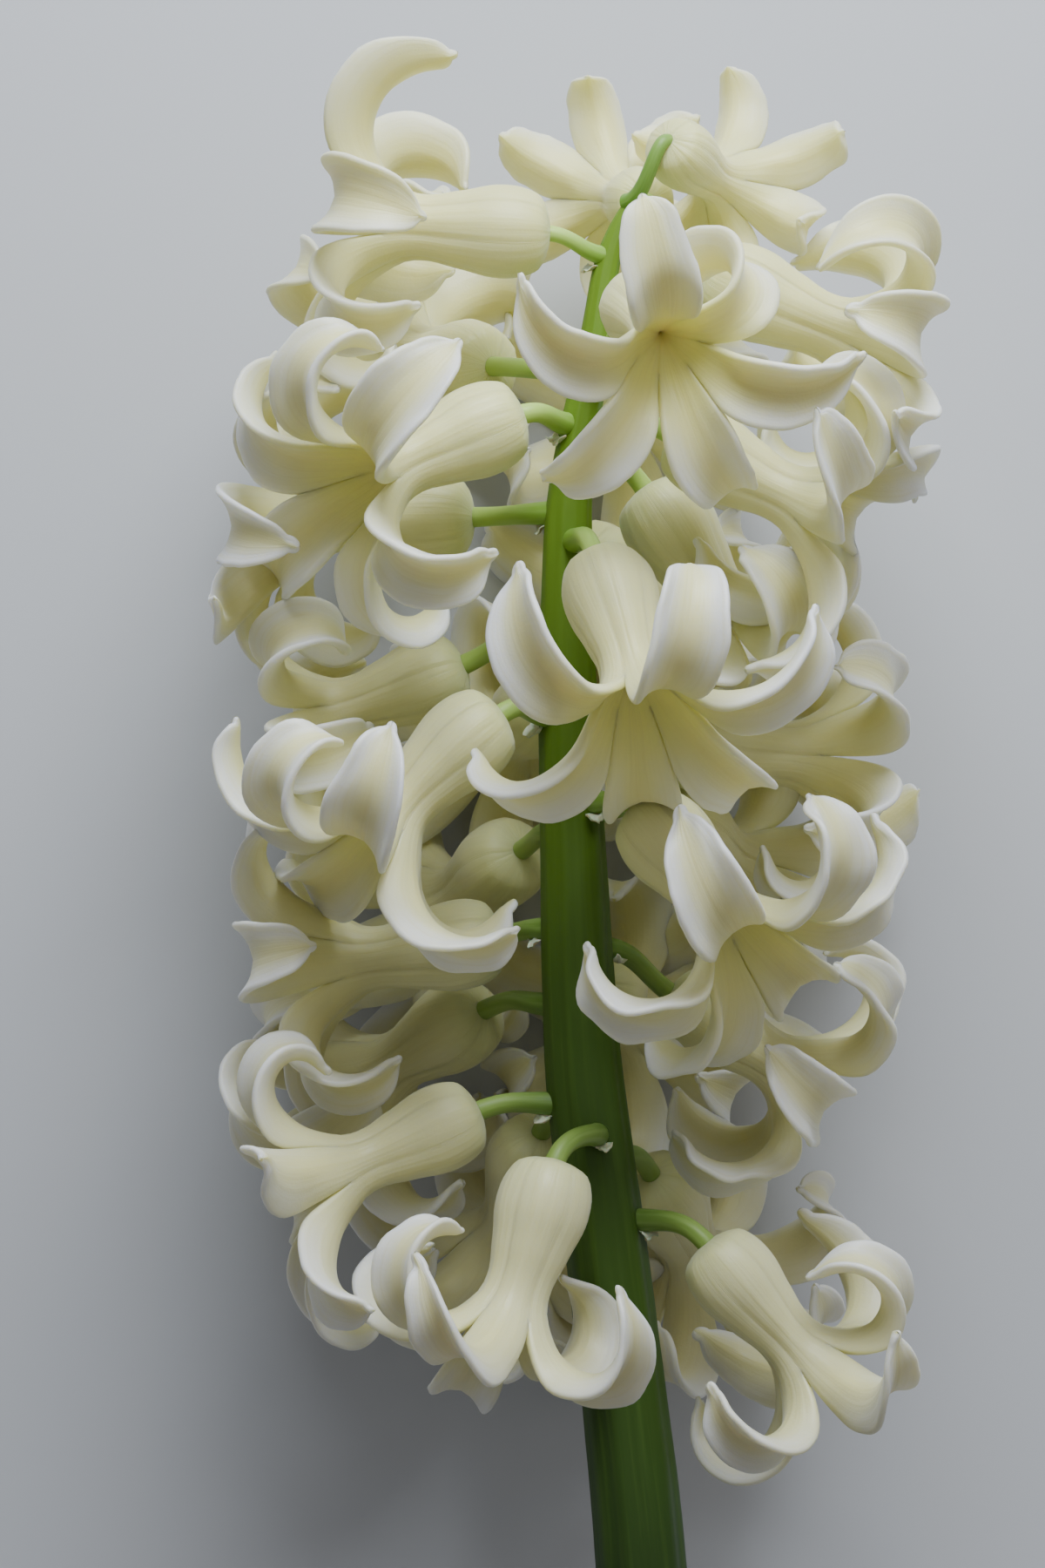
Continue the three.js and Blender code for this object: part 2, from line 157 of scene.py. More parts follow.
def cosine(angle):
    return maths("COSINE", angle)


def absolute(value):
    return maths("ABSOLUTE", value)


def clamped(value):
    return maths("ADD", value, 0.0, use_clamp=True)


def smooth(value, start, end, low=0.0, high=1.0):
    """Runs softly from low to high while value goes from start to end."""
    return node_for("ShaderNodeMapRange", value, start, end, low, high,
                    interpolation_type="SMOOTHSTEP")


def mixed(a, b, share):
    return a + (b - a) * share

# %% [markdown]
# Directions and places need the same for vectors: scaling, adding, crossing, and turning about an
# axis are all that the florets use. Noise is read at a place, or along a single number.

# %% Vector helpers
def vectors(operation, *values):
    return node_for("ShaderNodeVectorMath", *values, operation=operation)


def scaled(vector, factor):
    return vectors("SCALE", vector, None, None, factor)


def summed(first, *others):
    for other in others:
        first = vectors("ADD", first, other)
    return first


def crossed(a, b):
    return vectors("CROSS_PRODUCT", a, b)


def turned(vector, axis, angle):
    return node_for("ShaderNodeVectorRotate", vector, None, axis, angle,
                    rotation_type="AXIS_ANGLE")


def between(a, b, share):
    return summed(a, scaled(vectors("SUBTRACT", b, a), share))


def along_axes(directions, amounts):
    """The sum of each direction times its amount."""
    return summed(*[scaled(d, a) for d, a in zip(directions, amounts)])


def xyz(x, y, z):
    return node_for("ShaderNodeCombineXYZ", x, y, z)


def parts_of(vector):
    return [Field(s) for s in node_for("ShaderNodeSeparateXYZ", vector).socket.node.outputs]


def noise_at(place, scale, detail):
    """Noise from 0 to 1 at a place."""
    return node_for("ShaderNodeTexNoise", place, None, scale, detail)


def noise_along(number, detail=1.0):
    """Noise from -1 to 1 along a number."""
    node = node_for("ShaderNodeTexNoise", None, number, 1.0, detail, noise_dimensions="1D")
    return (node - 0.5) * 2

# %% [markdown]
# Every tree takes points that carry numbers, and ends in one smooth mesh with its material. It
# runs once, on a small carrier object; the result is kept as a plain mesh, and the carrier and its
# modifier go. Modifier inputs go by the socket's identifier, which stays the same when a socket is
# renamed.

# %% Start a tree, end it, and run it once
def new_tree(name, **labels):
    """A Geometry Nodes tree; labels gives the names of its own inputs by kind of socket."""
    tree = bpy.data.node_groups.new(name, "GeometryNodeTree")
    tree.interface.new_socket("Geometry", in_out="OUTPUT", socket_type="NodeSocketGeometry")
    inputs = [("Geometry", "Geometry"), ("Vector", "Laid At"), ("Material", "Skin")]
    inputs += [(kind, label) for kind, names in labels.items() for label in names]
    for kind, label in inputs:
        tree.interface.new_socket(label, in_out="INPUT", socket_type="NodeSocket" + kind)
    source = tree.nodes.new("NodeGroupInput")
    return tree, {socket.name: Field(socket) for socket in source.outputs if socket.name}


def on_table(place, given):
    """Millimetres in the plant's axes as metres on the table."""
    return summed(scaled(place, MM), given["Laid At"])


def moved(mesh, place):
    return geo("SetPosition", mesh, True, place)


def end_tree(tree, mesh, skin):
    mesh = geo("SetShadeSmooth", mesh, True, True)
    mesh = geo("RealizeInstances", mesh)
    mesh = geo("SetMaterial", mesh, True, skin)
    tree.links.new(mesh.socket, tree.nodes.new("NodeGroupOutput").inputs[0])
    return tree


def named(tree, name, kind="FLOAT"):
    """Reads what is stored on the geometry under a name."""
    return geo("InputNamedAttribute", name, tree=tree, data_type=kind)


def stored(mesh, **numbers):
    for name, value in numbers.items():
        mesh = geo("StoreNamedAttribute", mesh, True, name, value, data_type="FLOAT",
                   domain="POINT")
    return mesh


def points_with(name, places, edges=(), **numbers):
    """Points, joined by edges or not, that carry numbers or directions under their names."""
    mesh = bpy.data.meshes.new(name)
    mesh.from_pydata(places, edges, [])
    for label, values in numbers.items():
        if isinstance(values[0], Vector):
            kept = mesh.attributes.new(label, "FLOAT_VECTOR", "POINT").data
            kept.foreach_set("vector", [x for v in values for x in v])
        else:
            mesh.attributes.new(label, "FLOAT", "POINT").data.foreach_set("value", values)
    return mesh


def grown(name, points, tree, skin, **values):
    """Runs the tree on the points with these input values; returns a plain mesh object."""
    carrier = bpy.data.objects.new("carrier", points)
    bpy.context.scene.collection.objects.link(carrier)
    modifier = carrier.modifiers.new("grow", "NODES")
    modifier.node_group = tree
    sockets = {s.name: s.identifier for s in tree.interface.items_tree if s.in_out == "INPUT"}
    values = {label.replace("_", " ").title(): value for label, value in values.items()}
    for label, value in {"Laid At": LAID, "Skin": skin, **values}.items():
        modifier[sockets[label]] = value
    evaluated = carrier.evaluated_get(bpy.context.evaluated_depsgraph_get())
    mesh = bpy.data.meshes.new_from_object(evaluated)
    mesh.name = name
    bpy.data.objects.remove(carrier)
    piece = bpy.data.objects.new(name, mesh)
    bpy.context.scene.collection.objects.link(piece)
    return piece

# %% [markdown]
# ## The florets and where they sit
# No two florets of a real spike roll back alike, so each gets a row of its own. The rows repeat
# those of the solid model, so that each finer floret fills the place of its solid.
#
# root is the height on the stem and the turn round it, where the stalk leaves; base is where the
# tube starts; aim and face are the turn and rise of the tube at its base and at its mouth. Turn 0
# faces +z and 90 faces +x; rise is up the stem. A tepal is [turn round the mouth from straight up
# the stem, how far it rolls back (90 lies flat open, 360 is a full ring), how late it rolls, how
# far it leans sideways, twist]. What a tepal leaves out is as in USUAL.

# %% Floret rows
Row = namedtuple("Row", "root base aim face tepals size reach broad", defaults=(1.0, 1.0, 1.0))
TEPALS = 6
USUAL = (0, 0, 1.4, 0, 0)


def even(*curls, lean=None):
    """Six evenly spaced tepals, of which a few may lean."""
    return [(k * 360 / TEPALS, curl, USUAL[2], (lean or {}).get(k, 0))
            for k, curl in enumerate(curls)]


FLORETS = [
    Row((175.5, -70), (2.9, 177.6, 2.6), (-88, 1), (-100, 6),
        [(-25, 192, 1, 15, 60), (45, 270, 1.3, 14), (100, 240, 1.5), (162, 290, 2, 10),
         (220, 250, 1.3, 5), (277, 235, 1.2, -10)]),
    Row((181, 40), (14.8, 187.2, 3), (150, -22), (150, -5),
        [(-4, 140), (66, 130, 1.4, 2), (122, 200, 1.4, -5), (180, 260), (240, 180),
         (298, 150)], size=0.75, reach=0.82),
    Row((178, -160), (13.2, 182, -5), (-165, 5), (-165, 12),
        [(-6, 140, 1.4, -8), (54, 115, 1.4, -5), (116, 160, 1.4, -5), (176, 240),
         (234, 150, 1.4, 4), (292, 120, 1.4, 4)], size=0.75, reach=0.82),
    Row((171, 80), (18.7, 173.6, 3.6), (85, -28), (94, -20),
        [(26, 260, 1.2, 41), (80, 220, 1.5, 7), (135, 150, 1.7, -25), (195, 290, 1.4, -5),
         (256, 290), (320, 235, 1.1, -23)]),
    Row((163, 25), (11, 169.1, 11.9), (14, -8), (12, -35),
        [(18, 178, 1.5, -1), (90, 150, 1.4, -28), (144, 166, 1.5), (203, 172, 1.5, 10),
         (258, 130, 1.4, 20), (308, 325, 1, 36)], size=0.88, broad=1.02),
    Row((158, -60), (0.2, 158.8, 5.6), (-86, -20), (-66, -27),
        [(-20, 250, 1.6, -17), (46, 195, 1.7, -17), (100, 120, 1.5, 3), (160, 250, 1.8),
         (223, 210, 1.5, 2), (288, 195, 0.8, 10)]),
    Row((149, -100), (-5, 148.9, -5.6), (-98, -1), (-108, 2),
        [(-34, 230), (26, 260), (86, 230), (146, 270), (206, 140, 1.4, 38),
         (266, 235, 1.6, -10)]),
    Row((137, -100), (-6, 133.6, -8), (-98, -22), (-95, -17),
        [(10, 190), (70, 220), (130, 240), (190, 220), (250, 280), (310, 300)], size=0.93),
    Row((146, 15), (7.5, 143.4, 13), (23, -47), (26, -62),
        [(11, 235, 1.2, -17), (72, 200, 0.7, -12), (137, 200, 1.6), (192, 205, 1.5, 19),
         (250, 155, 1.5, -21), (308, 175, 1.2, 8)]),
    Row((155, 110), (12.6, 152, -4.5), (85, -55), (85, -60),
        even(320, 250, 220, 160, 230, 270, lean={1: 8})),
    Row((158, 90), (15, 156.6, 7.4), (80, -30), (82, -25),
        [(85, 150, 0.9, -20), (155, 180, 1.8, 7), (218, 250, 0.9, -8), (275, 240),
         (330, 110, 1.4, -45), (30, 240)], size=0.95),
    Row((135, 100), (15, 125, -11), (110, -2), (102, -5),
        even(250, 200, 220, 280, 230, 270, lean={0: -16, 3: -8, 4: 68})),
    Row((128, -60), (-2, 128.2, 8), (-83, -34), (-79, -53),
        [(-28, 275, 1.7, -13), (38, 180, 1.5, -20), (93, 120, 1.5, -15), (157, 210, 1.5),
         (224, 190, 1.8, -12), (279, 210, 1, 16)]),
    Row((106, -100), (-2, 105.2, -5), (-90, -13), (-105, -6),
        [(-30, 205, 2, 3), (32, 230), (97, 260, 1.4, 3), (160, 210, 2, -2), (218, 260, 1.3, -9),
         (276, 240, 1.9, 4)]),
    Row((88, -80), (-4.3, 87.5, 2.7), (-85, -24), (-77, -22),
        [(-16, 300, 1.8, 5), (45, 190, 1.6, -8), (102, 220), (161, 185, 1.8, 3),
         (223, 135, 1.4, 9), (288, 100)], size=0.95),
    Row((85, 10), (3.3, 83.1, 11), (-41, -68), (-63, -68),
        [(16, 285, 1.2, -2), (68, 250, 1.4, 22), (126, 130, 1.5, 9), (184, 290, 1.2, -18),
         (250, 235, 1.3, 28), (325, 215, 1.6, 30)], broad=0.86),
    Row((76, 75), (18.7, 74.2, 5), (84, -51), (98, -46),
        [(14, 290, 1.1, 14), (76, 165, 1.3, -18), (132, 235, 1.1, -5), (192, 225, 1.6, 23),
         (250, 215, 1, -14), (312, 210, 0.8, -4)], size=0.95, broad=0.88),
    Row((119, 50), (11.9, 118.4, 5), (50, -40), (58, -49),
        [(66, 210, 0.9, -15), (130, 230, 1.3, -9), (194, 205, 1.8, -4), (252, 205, 1.5, -16),
         (311, 200, 1.5, 9), (9, 205)]),
    Row((104, 110), (15.2, 99.3, -5.4), (99, -34), (98, -32),
        [(-19, 255, 1.7, 10), (43, 210, 1.3, 1), (105, 220, 1.1, -15), (158, 230, 1, 7),
         (222, 235, 1, 6), (280, 250)], size=0.93),
    Row((164, -130), (-3, 165, -9), (-145, 5), (-145, 13),
        even(205, 260, 230, 285, 190, 215)),
    Row((116, -150), (0, 114, -13.2), (-150, -20), (-150, -20),
        even(210, 235, 200, 255, 165, 280, lean={3: -15})),
    Row((98, -130), (-4, 97, -12.9), (-134, -22), (-130, -30),
        even(185, 210, 265, 230, 285, 250)),
    Row((87, -160), (2, 84, -13.2), (-160, -45), (-164, -45),
        even(220, 275, 240, 205, 260, 225, lean={2: 8})),
    Row((82, 150), (13.6, 79.6, -13.3), (155, -40), (158, -38),
        even(280, 245, 215, 270, 215, 230, lean={2: -15, 5: 15})),
    Row((118, 140), (15, 118, -12), (148, -22), (148, -18),
        even(315, 120, 275, 240, 130, 265)),
    Row((165, 170), (8, 165, -12), (170, -10), (166, -10),
        even(230, 285, 250, 235, 270, 235)),
    Row((147, 165), (7, 146, -13), (165, -23), (165, -15),
        even(205, 260, 225, 280, 265, 210)),
    Row((132, -165), (3, 130, -13.3), (-161, -15), (-165, -15),
        even(265, 230, 290, 235, 220, 275, lean={3: -8})),
    Row((102, 165), (8, 100, -12), (173, -19), (165, -15),
        even(260, 165, 260, 225, 285, 190, lean={2: 8})),
]

# %% [markdown]
# ## From a row to a frame
# A floret is built round its own axis. The tube bends evenly from the direction at its base to the
# direction at its mouth, so four facts fix the whole axis: where it starts, its first direction,
# the line it bends about and by how much. The gaps between neighbouring tepals are worked out here
# too, because the two halves of a tepal's base share those gaps with its neighbours.

# %% Directions and carriers
HARDLY_BENT = 1e-3


def towards(turn, rise):
    turn, rise = math.radians(turn), math.radians(rise)
    return Vector((math.cos(rise) * math.sin(turn), math.sin(rise),
                   math.cos(rise) * math.cos(turn)))


def axis_of(row):
    """First direction, the one beside it, the bend's axis and angle."""
    aim, face = towards(*row.aim), towards(*row.face)
    stem_up = Vector((0, 1, 0))
    beside = (stem_up - aim * stem_up.dot(aim)).normalized()
    bend = aim.angle(face)
    axis = aim.cross(face).normalized() if bend > HARDLY_BENT else beside
    return aim, beside, axis, max(bend, HARDLY_BENT)


def carrier_of(row, luck):
    """Six points, one for each tepal, that carry its numbers."""
    turn, curl, late, lean, twist = zip(*[(*t, *USUAL[len(t):]) for t in row.tepals])
    gaps = [(turn[(k + 1) % TEPALS] - turn[k]) % 360 / 2 for k in range(TEPALS)]
    return points_with("carrier", [(0, 0, 0)] * TEPALS, turn=turn, curl=curl, late=late,
                       lean=lean, twist=twist, gap_left=gaps[-1:] + gaps[:-1], gap_right=gaps,
                       luck=[luck.random() for _ in range(TEPALS)])

# %% [markdown]
# ## One strip, six times
# Tube and tepal are one piece of flesh: the tube is six tepals grown together by their edges. So
# the tree makes six strips, each running from the foot of the tube to the tip of its tepal. A
# strip is a grid that will be wrapped into a closed skin: its columns go once round the strip,
# over the outer face, round one rim, back over the inner face and round the other rim. Modelling
# a tepal by hand and copying it would be quicker, but then all 174 would be alike.
#
# Instance on Points puts one grid on each of the six points, and Realize Instances hands the
# point's numbers to every vertex of its grid, which is what lets one formula shape them all.

# %% Rows and columns of a strip
TUBE_ROWS = 24
TEPAL_ROWS = 38
FACE_COLUMNS = 10
RIM_COLUMNS = 4
ROWS = TUBE_ROWS + TEPAL_ROWS + 1
HALF_ROUND = FACE_COLUMNS + RIM_COLUMNS
COLUMNS = 2 * HALF_ROUND + 1


def strips(tree, points):
    """Six grids whose vertices know their row and column."""
    grid = geo("MeshGrid", 1.0, 1.0, COLUMNS, ROWS, tree=tree)
    index = geo("InputIndex", tree=tree)
    grid = stored(grid, row=maths("MODULO", index, ROWS), column=maths("FLOOR", index / ROWS))
    return geo("RealizeInstances", geo("InstanceOnPoints", points, True, grid))


def round_the_strip(column):
    """Where a column lies: across from -1 to 1, and how far it has gone round the rims."""
    outer = clamped(column / FACE_COLUMNS)
    first_rim = clamped((column - FACE_COLUMNS) / RIM_COLUMNS)
    inner = clamped((column - HALF_ROUND) / FACE_COLUMNS)
    last_rim = clamped((column - (HALF_ROUND + FACE_COLUMNS)) / RIM_COLUMNS)
    even_spread = outer * 2 - inner * 2 - 1
    crowded = sine(even_spread * (math.pi / 2))
    round_rims = (first_rim + last_rim) * math.pi - math.pi / 2
    return mixed(even_spread, crowded, 0.5), sine(round_rims), cosine(round_rims)

# %% [markdown]
# ## The tube
# The tube swells like a small bulb above the stalk, draws in to a waist and flares into the mouth.
# A Float Curve node holds that outline, which is easier to judge and to change than a polynomial.
# The foot is closed by a quarter circle, and the inner wall starts a little higher, so the tube
# has a floor. Just under the mouth the flesh is thick, which leaves a funnel with a narrow
# throat. Six shallow furrows run down from the notches between the tepals, where their edges
# have grown together.

# %% Outline of the tube
TUBE_LENGTH = 16.4
TUBE_WIDEST = 5.0
# Distance along the tube and radius, as on the solid model
TUBE = [(0, 2.9), (1.2, 3.9), (4.6, 4.8), (9.5, 4.0), (13.4, 3.4), (16.4, 4.4)]
WALL = 1.1
FOOT = 1.5
TUBE_FLOOR = 1.3
FLOOR_ROUND = 2.0
FOOT_ROWS_CROWD = 1.5
FURROW = 0.28
MIDRIB = 0.1
FLARE_FROM = 12.2
MOUTH_SLOPE = 34.0
THROAT_AT = 13.0
THROAT_FROM = 7.0
THROAT_FLESH = 2.15


def curve_through(value, points):
    """A Float Curve through the points, given from 0 to 1."""
    node = node_for("ShaderNodeFloatCurve", None, value).socket.node
    curve = node.mapping.curves[0]
    for place, height in points[1:-1]:
        curve.points.new(place, height)
    for spot, (place, height) in zip(curve.points, points):
        spot.location = (place, height)
        spot.handle_type = "AUTO"
    node.mapping.update()
    return Field(node.outputs[0])


def quarter_round(share):
    """Height of a quarter circle, from 0 to 1."""
    return maths("SQRT", 1 - (1 - share) * (1 - share))


def tube_wall(row, across, inside):
    """Distance along the tube, middle of the wall's radius and half its thickness."""
    distance = clamped(row / TUBE_ROWS) ** FOOT_ROWS_CROWD * TUBE_LENGTH
    outline = [(d / TUBE_LENGTH, r / TUBE_WIDEST) for d, r in TUBE]
    radius = curve_through(distance / TUBE_LENGTH, outline) * TUBE_WIDEST
    notch = absolute(across) ** 3
    depth = smooth(distance, FOOT, FLARE_FROM, 0.25, 1.0) * FURROW
    rib = smooth(absolute(across), 0.0, 0.3, MIDRIB, 0.0)
    outer = (radius - notch * depth + rib) * quarter_round(clamped(distance / FOOT))
    above_floor = clamped((distance - TUBE_FLOOR) / FLOOR_ROUND)
    fleshy = smooth(distance, THROAT_FROM, THROAT_AT) \
        * smooth(distance, THROAT_AT, TUBE_LENGTH, 1.0, 0.0)
    inner = (radius - WALL - fleshy * THROAT_FLESH) * quarter_round(above_floor)
    lifted = mixed(distance, maths("MAXIMUM", distance, TUBE_FLOOR), inside)
    return lifted, (outer + inner) * 0.5, (outer - inner) * 0.5

# %% [markdown]
# ## The tepal's middle line
# A tepal leaves the mouth at a slope to the floret's axis, and the slope grows towards the tip: at
# 90 degrees it stands straight out, at 180 it points back along the tube, and past that it rolls
# into a ring. Its middle line is the sum of many short steps, each taken at the slope of its
# place. Accumulate Field adds them up along each column, so no step has to know the others.
#
# Two habits of real tepals are added to the plain roll: a faint unevenness, from a noise that
# differs for each tepal, and a small hood at the tip, which bends the other way.

# %% Slope and middle line
TEPAL_LENGTH = 20.5
TIP_ROWS_CROWD = 1.5
UNEVEN = 5.0
UNEVEN_SCALE = 2.3
HOOD_FROM = 0.87
HOOD = 42.0
HOOD_LEAST = 0.4
HOOD_VARIES = 0.9


def along_tepal(row, back=0):
    share = clamped((row - (TUBE_ROWS + back)) / TEPAL_ROWS)
    return 1 - (1 - share) ** TIP_ROWS_CROWD


def slope_at(tree, t, seed):
    roll = (named(tree, "curl") - MOUTH_SLOPE) * t ** named(tree, "late")
    wander = noise_along(t * UNEVEN_SCALE + seed) * smooth(t, 0.1, 0.6) * UNEVEN
    hood = smooth(t, HOOD_FROM, 1.0, 0.0, HOOD) * (named(tree, "luck") * HOOD_VARIES + HOOD_LEAST)
    return maths("RADIANS", roll + MOUTH_SLOPE + wander - hood)


def middle_line(tree, row, length, seed):
    """Share of the tepal's length, and how far out and ahead the middle line has come."""
    t, before = along_tepal(row), along_tepal(row, 1)
    step = (t - before) * length
    slope = slope_at(tree, (t + before) * 0.5, seed)
    column = maths("FLOOR", geo("InputIndex", tree=tree) / ROWS)
    return t, [geo("AccumulateField", step * turn(slope), column) for turn in (sine, cosine)]

# %% [markdown]
# ## Across the tepal
# Seen end on, a tepal is a thick channel: hollow on its inner face, with a low rib down the outer
# one and fleshy margins that turn up and are round, like a rolled hem. Those margins are what
# catches the light on the real flower. The skin is set off square to the section's own slope, so
# it stays equally thick where the margin climbs and goes round it without a crease.
#
# The blade narrows softly, with an outline that wavers a little and not alike on its two sides,
# and ends in a little knob. Near the mouth the strip must still be its share of the round tube,
# so its shape there passes over from an arc of the tube to the channel.

# %% Section of a tepal
HALF_WIDTH = 4.1
WIDEST_AT = 0.48
WIDENS_LATE = 1.5
BLADE_END = 0.968
TIP_ROUNDNESS = 0.34
TIP_VARIES = 0.4
KNOB_AT = 0.952
KNOB_HALF = 0.048
KNOB_WIDTH = 0.74
KNOB_LEAST = 0.65
KNOB_VARIES = 0.7
RAGGED = 0.1
RAGGED_SCALE = 5.0
OTHER_EDGE = 9.0
THICK = 1.4
TIP_THICK = 0.95
RIM_THINNER = 0.4
MOST_OF_HALF = 0.8
RIB = 0.3
MIDLINE = 0.12
CUP = 0.44
LIP = 0.35
STEEPEST = 1.6
RUFFLE = 0.45
CRUMPLED = {6: 0.7, 13: 0.7, 16: 0.7, 18: 1.5, 19: 1.4}
RUFFLE_SCALE = 3.2
RUFFLE_ACROSS = 0.8
FREE_BY = 0.3


def half_width(tree, t, at_mouth, widest, right, seed):
    rising = sine(clamped(t / WIDEST_AT) * (math.pi / 2)) ** WIDENS_LATE
    falling = clamped((t - WIDEST_AT) / (BLADE_END - WIDEST_AT))
    roundness = named(tree, "luck") * TIP_VARIES + TIP_ROUNDNESS
    blade = mixed(at_mouth, widest, rising) * (1 - falling * falling) ** roundness
    wavers = noise_along(t * RAGGED_SCALE + seed * 2 + right * OTHER_EDGE, 2.0)
    blade = blade * (1 + wavers * smooth(t, 0.35, 0.7) * RAGGED)
    from_knob = clamped(absolute(t - KNOB_AT) / KNOB_HALF)
    knob = (named(tree, "luck") * KNOB_VARIES + KNOB_LEAST) * KNOB_WIDTH
    return maths("MAXIMUM", blade, knob * maths("SQRT", 1 - from_knob * from_knob))


def section(t, across, side, swell, half, hollow, ruffled, seed):
    """Sideways and upward place of a point in the tepal's section."""
    edge = absolute(across)
    thick = mixed(THICK, TIP_THICK, t * t) * 0.5 * (1 - edge * edge * RIM_THINNER)
    thick = maths("MINIMUM", thick, half * MOST_OF_HALF)
    cup = hollow * (1 - t) + half * smooth(t, 0.0, 0.35) * smooth(t, 0.8, 1.0, 1.0, 0.35) * CUP
    lift = (edge * edge * (1 - LIP) + edge ** 4 * LIP) * cup
    steep = (edge * (2 - 2 * LIP) + edge ** 3 * (4 * LIP)) * cup / maths("MAXIMUM", half, 0.05)
    tilt = maths("ARCTANGENT", maths("MINIMUM", steep, STEEPEST)) * maths("SIGN", across)
    wave = noise_along(t * RUFFLE_SCALE + across * RUFFLE_ACROSS + seed * 3)
    ruffle = wave * edge ** 3 * smooth(t, 0.15, 0.6) * smooth(t, 0.85, 1.0, 1.0, 0.0) * ruffled
    on_blade = smooth(t, 0.05, 0.4) * smooth(t, 0.8, 0.95, 1.0, 0.2)
    rib = smooth(edge, 0.0, 0.45, RIB, 0.0) * clamped(side * -1) * on_blade
    midline = smooth(edge, 0.0, 0.16, MIDLINE, 0.0) * clamped(side) * on_blade
    skin = thick * side - rib - midline
    turn_out, turn_up = cosine(tilt), sine(tilt)
    sideways = across * (half - thick) + swell * thick * turn_out - skin * turn_up
    upward = lift + ruffle + swell * thick * turn_up + skin * turn_out
    return sideways, upward

# %% [markdown]
# ## Placing every point
# Two places are worked out for each vertex. The first goes round the floret's axis, as the wall of
# the tube does. The second stands on the tepal's own middle line, square to it. In the tube only
# the first counts, in the tepal's outer part only the second, and between them one passes softly
# into the other, which makes the smooth throat of the real floret. A soft limit keeps every point
# inside the box of the solid model and above the table.

# %% The floret's tree
WELD = 1e-5
PRESSED_OVER = 0.0015
TEPALS_APART = 50
KEPT = ("along", "across", "inside", "luck")


def frame_at(given, share):
    """Centre, direction and the two directions beside it, at a share of the tube's length."""
    angle = given["Bend"] * share
    along = turned(given["Aim"], given["Bend Axis"], angle)
    first = turned(given["Beside"], given["Bend Axis"], angle)
    inward = crossed(given["Bend Axis"], given["Aim"])
    reach = given["Size"] * TUBE_LENGTH / given["Bend"]
    way = along_axes((given["Aim"], inward), (reach * sine(angle), reach * (1 - cosine(angle))))
    return summed(given["Base"], way), along, first, crossed(along, first)


def held_under(value, limit):
    """Leaves small values alone and presses large ones softly together under the limit."""
    over = maths("MAXIMUM", value - (limit - PRESSED_OVER), 0.0)
    pressed = (1 - maths("EXPONENT", over * (-1 / PRESSED_OVER))) * PRESSED_OVER
    return value - over + pressed


def inside_the_box(place):
    """The same place, but never beyond the solid model nor under the table."""
    x, y, z = parts_of(place)
    x = held_under(held_under(x, cad_high.x) * -1, -cad_low.x) * -1
    return xyz(x, held_under(y, cad_high.y), maths("MAXIMUM", held_under(z, cad_high.z), 0.0))


def floret_tree():
    tree, given = new_tree(
        "Floret", Float=("Size", "Length", "Bend", "Half Width", "Ruffle", "Seed"),
        Vector=("Base", "Aim", "Beside", "Bend Axis"))
    size = given["Size"]
    flesh = strips(tree, given["Geometry"])
    row, column = named(tree, "row"), named(tree, "column")
    across, side, swell = round_the_strip(column)
    inside = (side + 1) * 0.5
    seed = given["Seed"] + named(tree, "luck") * TEPALS_APART

    lifted, wall_radius, wall_half = tube_wall(row, across, inside)
    t, (out_sum, ahead) = middle_line(tree, row, given["Length"], seed)
    centre, along, first, second = frame_at(given, lifted / TUBE_LENGTH)
    out = wall_radius * size + out_sum

    right = maths("GREATER_THAN", across, 0.0)
    gap = maths("RADIANS", mixed(named(tree, "gap_left"), named(tree, "gap_right"), right))
    turn = maths("RADIANS", named(tree, "turn") + named(tree, "lean") * t * t)
    slope = slope_at(tree, t, seed) * smooth(lifted, FLARE_FROM, TUBE_LENGTH)

    mouth_radius = (TUBE[-1][1] - WALL / 2) * size
    at_mouth = mouth_radius * sine(gap)
    half = half_width(tree, t, at_mouth, given["Half Width"], right, seed)
    hollow = mouth_radius * (1 - cosine(gap))
    sideways, upward = section(t, across, side, swell, half, hollow, given["Ruffle"], seed)

    def radial(angle):
        return along_axes((first, second), (cosine(angle), sine(angle)))

    def facing_from(spoke):
        return along_axes((along, spoke), (sine(slope), cosine(slope) * -1))

    # round the axis
    spoke = radial(turn + across * gap)
    on_wall = summed(centre, along_axes(
        (spoke, along, facing_from(spoke)), (out, ahead, wall_half * size * side)))

    # on the tepal's own middle line
    spoke, sidewards = radial(turn), radial(turn + math.pi / 2)
    facing = facing_from(spoke)
    tangent = crossed(facing, sidewards)
    twist = maths("RADIANS", named(tree, "twist") * t)
    facing, sidewards = turned(facing, tangent, twist), turned(sidewards, tangent, twist)
    on_tepal = summed(centre, along_axes(
        (spoke, along, sidewards, facing), (out, ahead, sideways, upward)))

    place = on_table(between(on_wall, on_tepal, smooth(t, 0.0, FREE_BY)), given)
    flesh = stored(flesh, along=clamped(row / TUBE_ROWS) + t, across=across, inside=inside)
    flesh = moved(flesh, inside_the_box(place))

    # the rims exist only past the mouth; in the tube the strips meet there
    past_face = maths("GREATER_THAN", column, float(FACE_COLUMNS))
    before_back = maths("LESS_THAN", column, float(HALF_ROUND))
    last_rim = maths("GREATER_THAN", column, float(HALF_ROUND + FACE_COLUMNS))
    rim = maths("MAXIMUM", past_face * before_back, last_rim)
    in_tube = maths("LESS_THAN", row, float(TUBE_ROWS))
    flesh = geo("DeleteGeometry", flesh, rim * in_tube, domain="FACE")
    return end_tree(tree, geo("MergeByDistance", flesh, True, WELD), given["Skin"])

# %% [markdown]
# ## Helpers for finishes
# A finish is a Principled shader whose colour, roughness and bump come from small patterns. What
# is the same all over is set on the shader itself, because an exported file keeps only that. The
# patterns read the numbers that the trees stored on the pieces, so a vein runs along its tepal
# however it rolls.

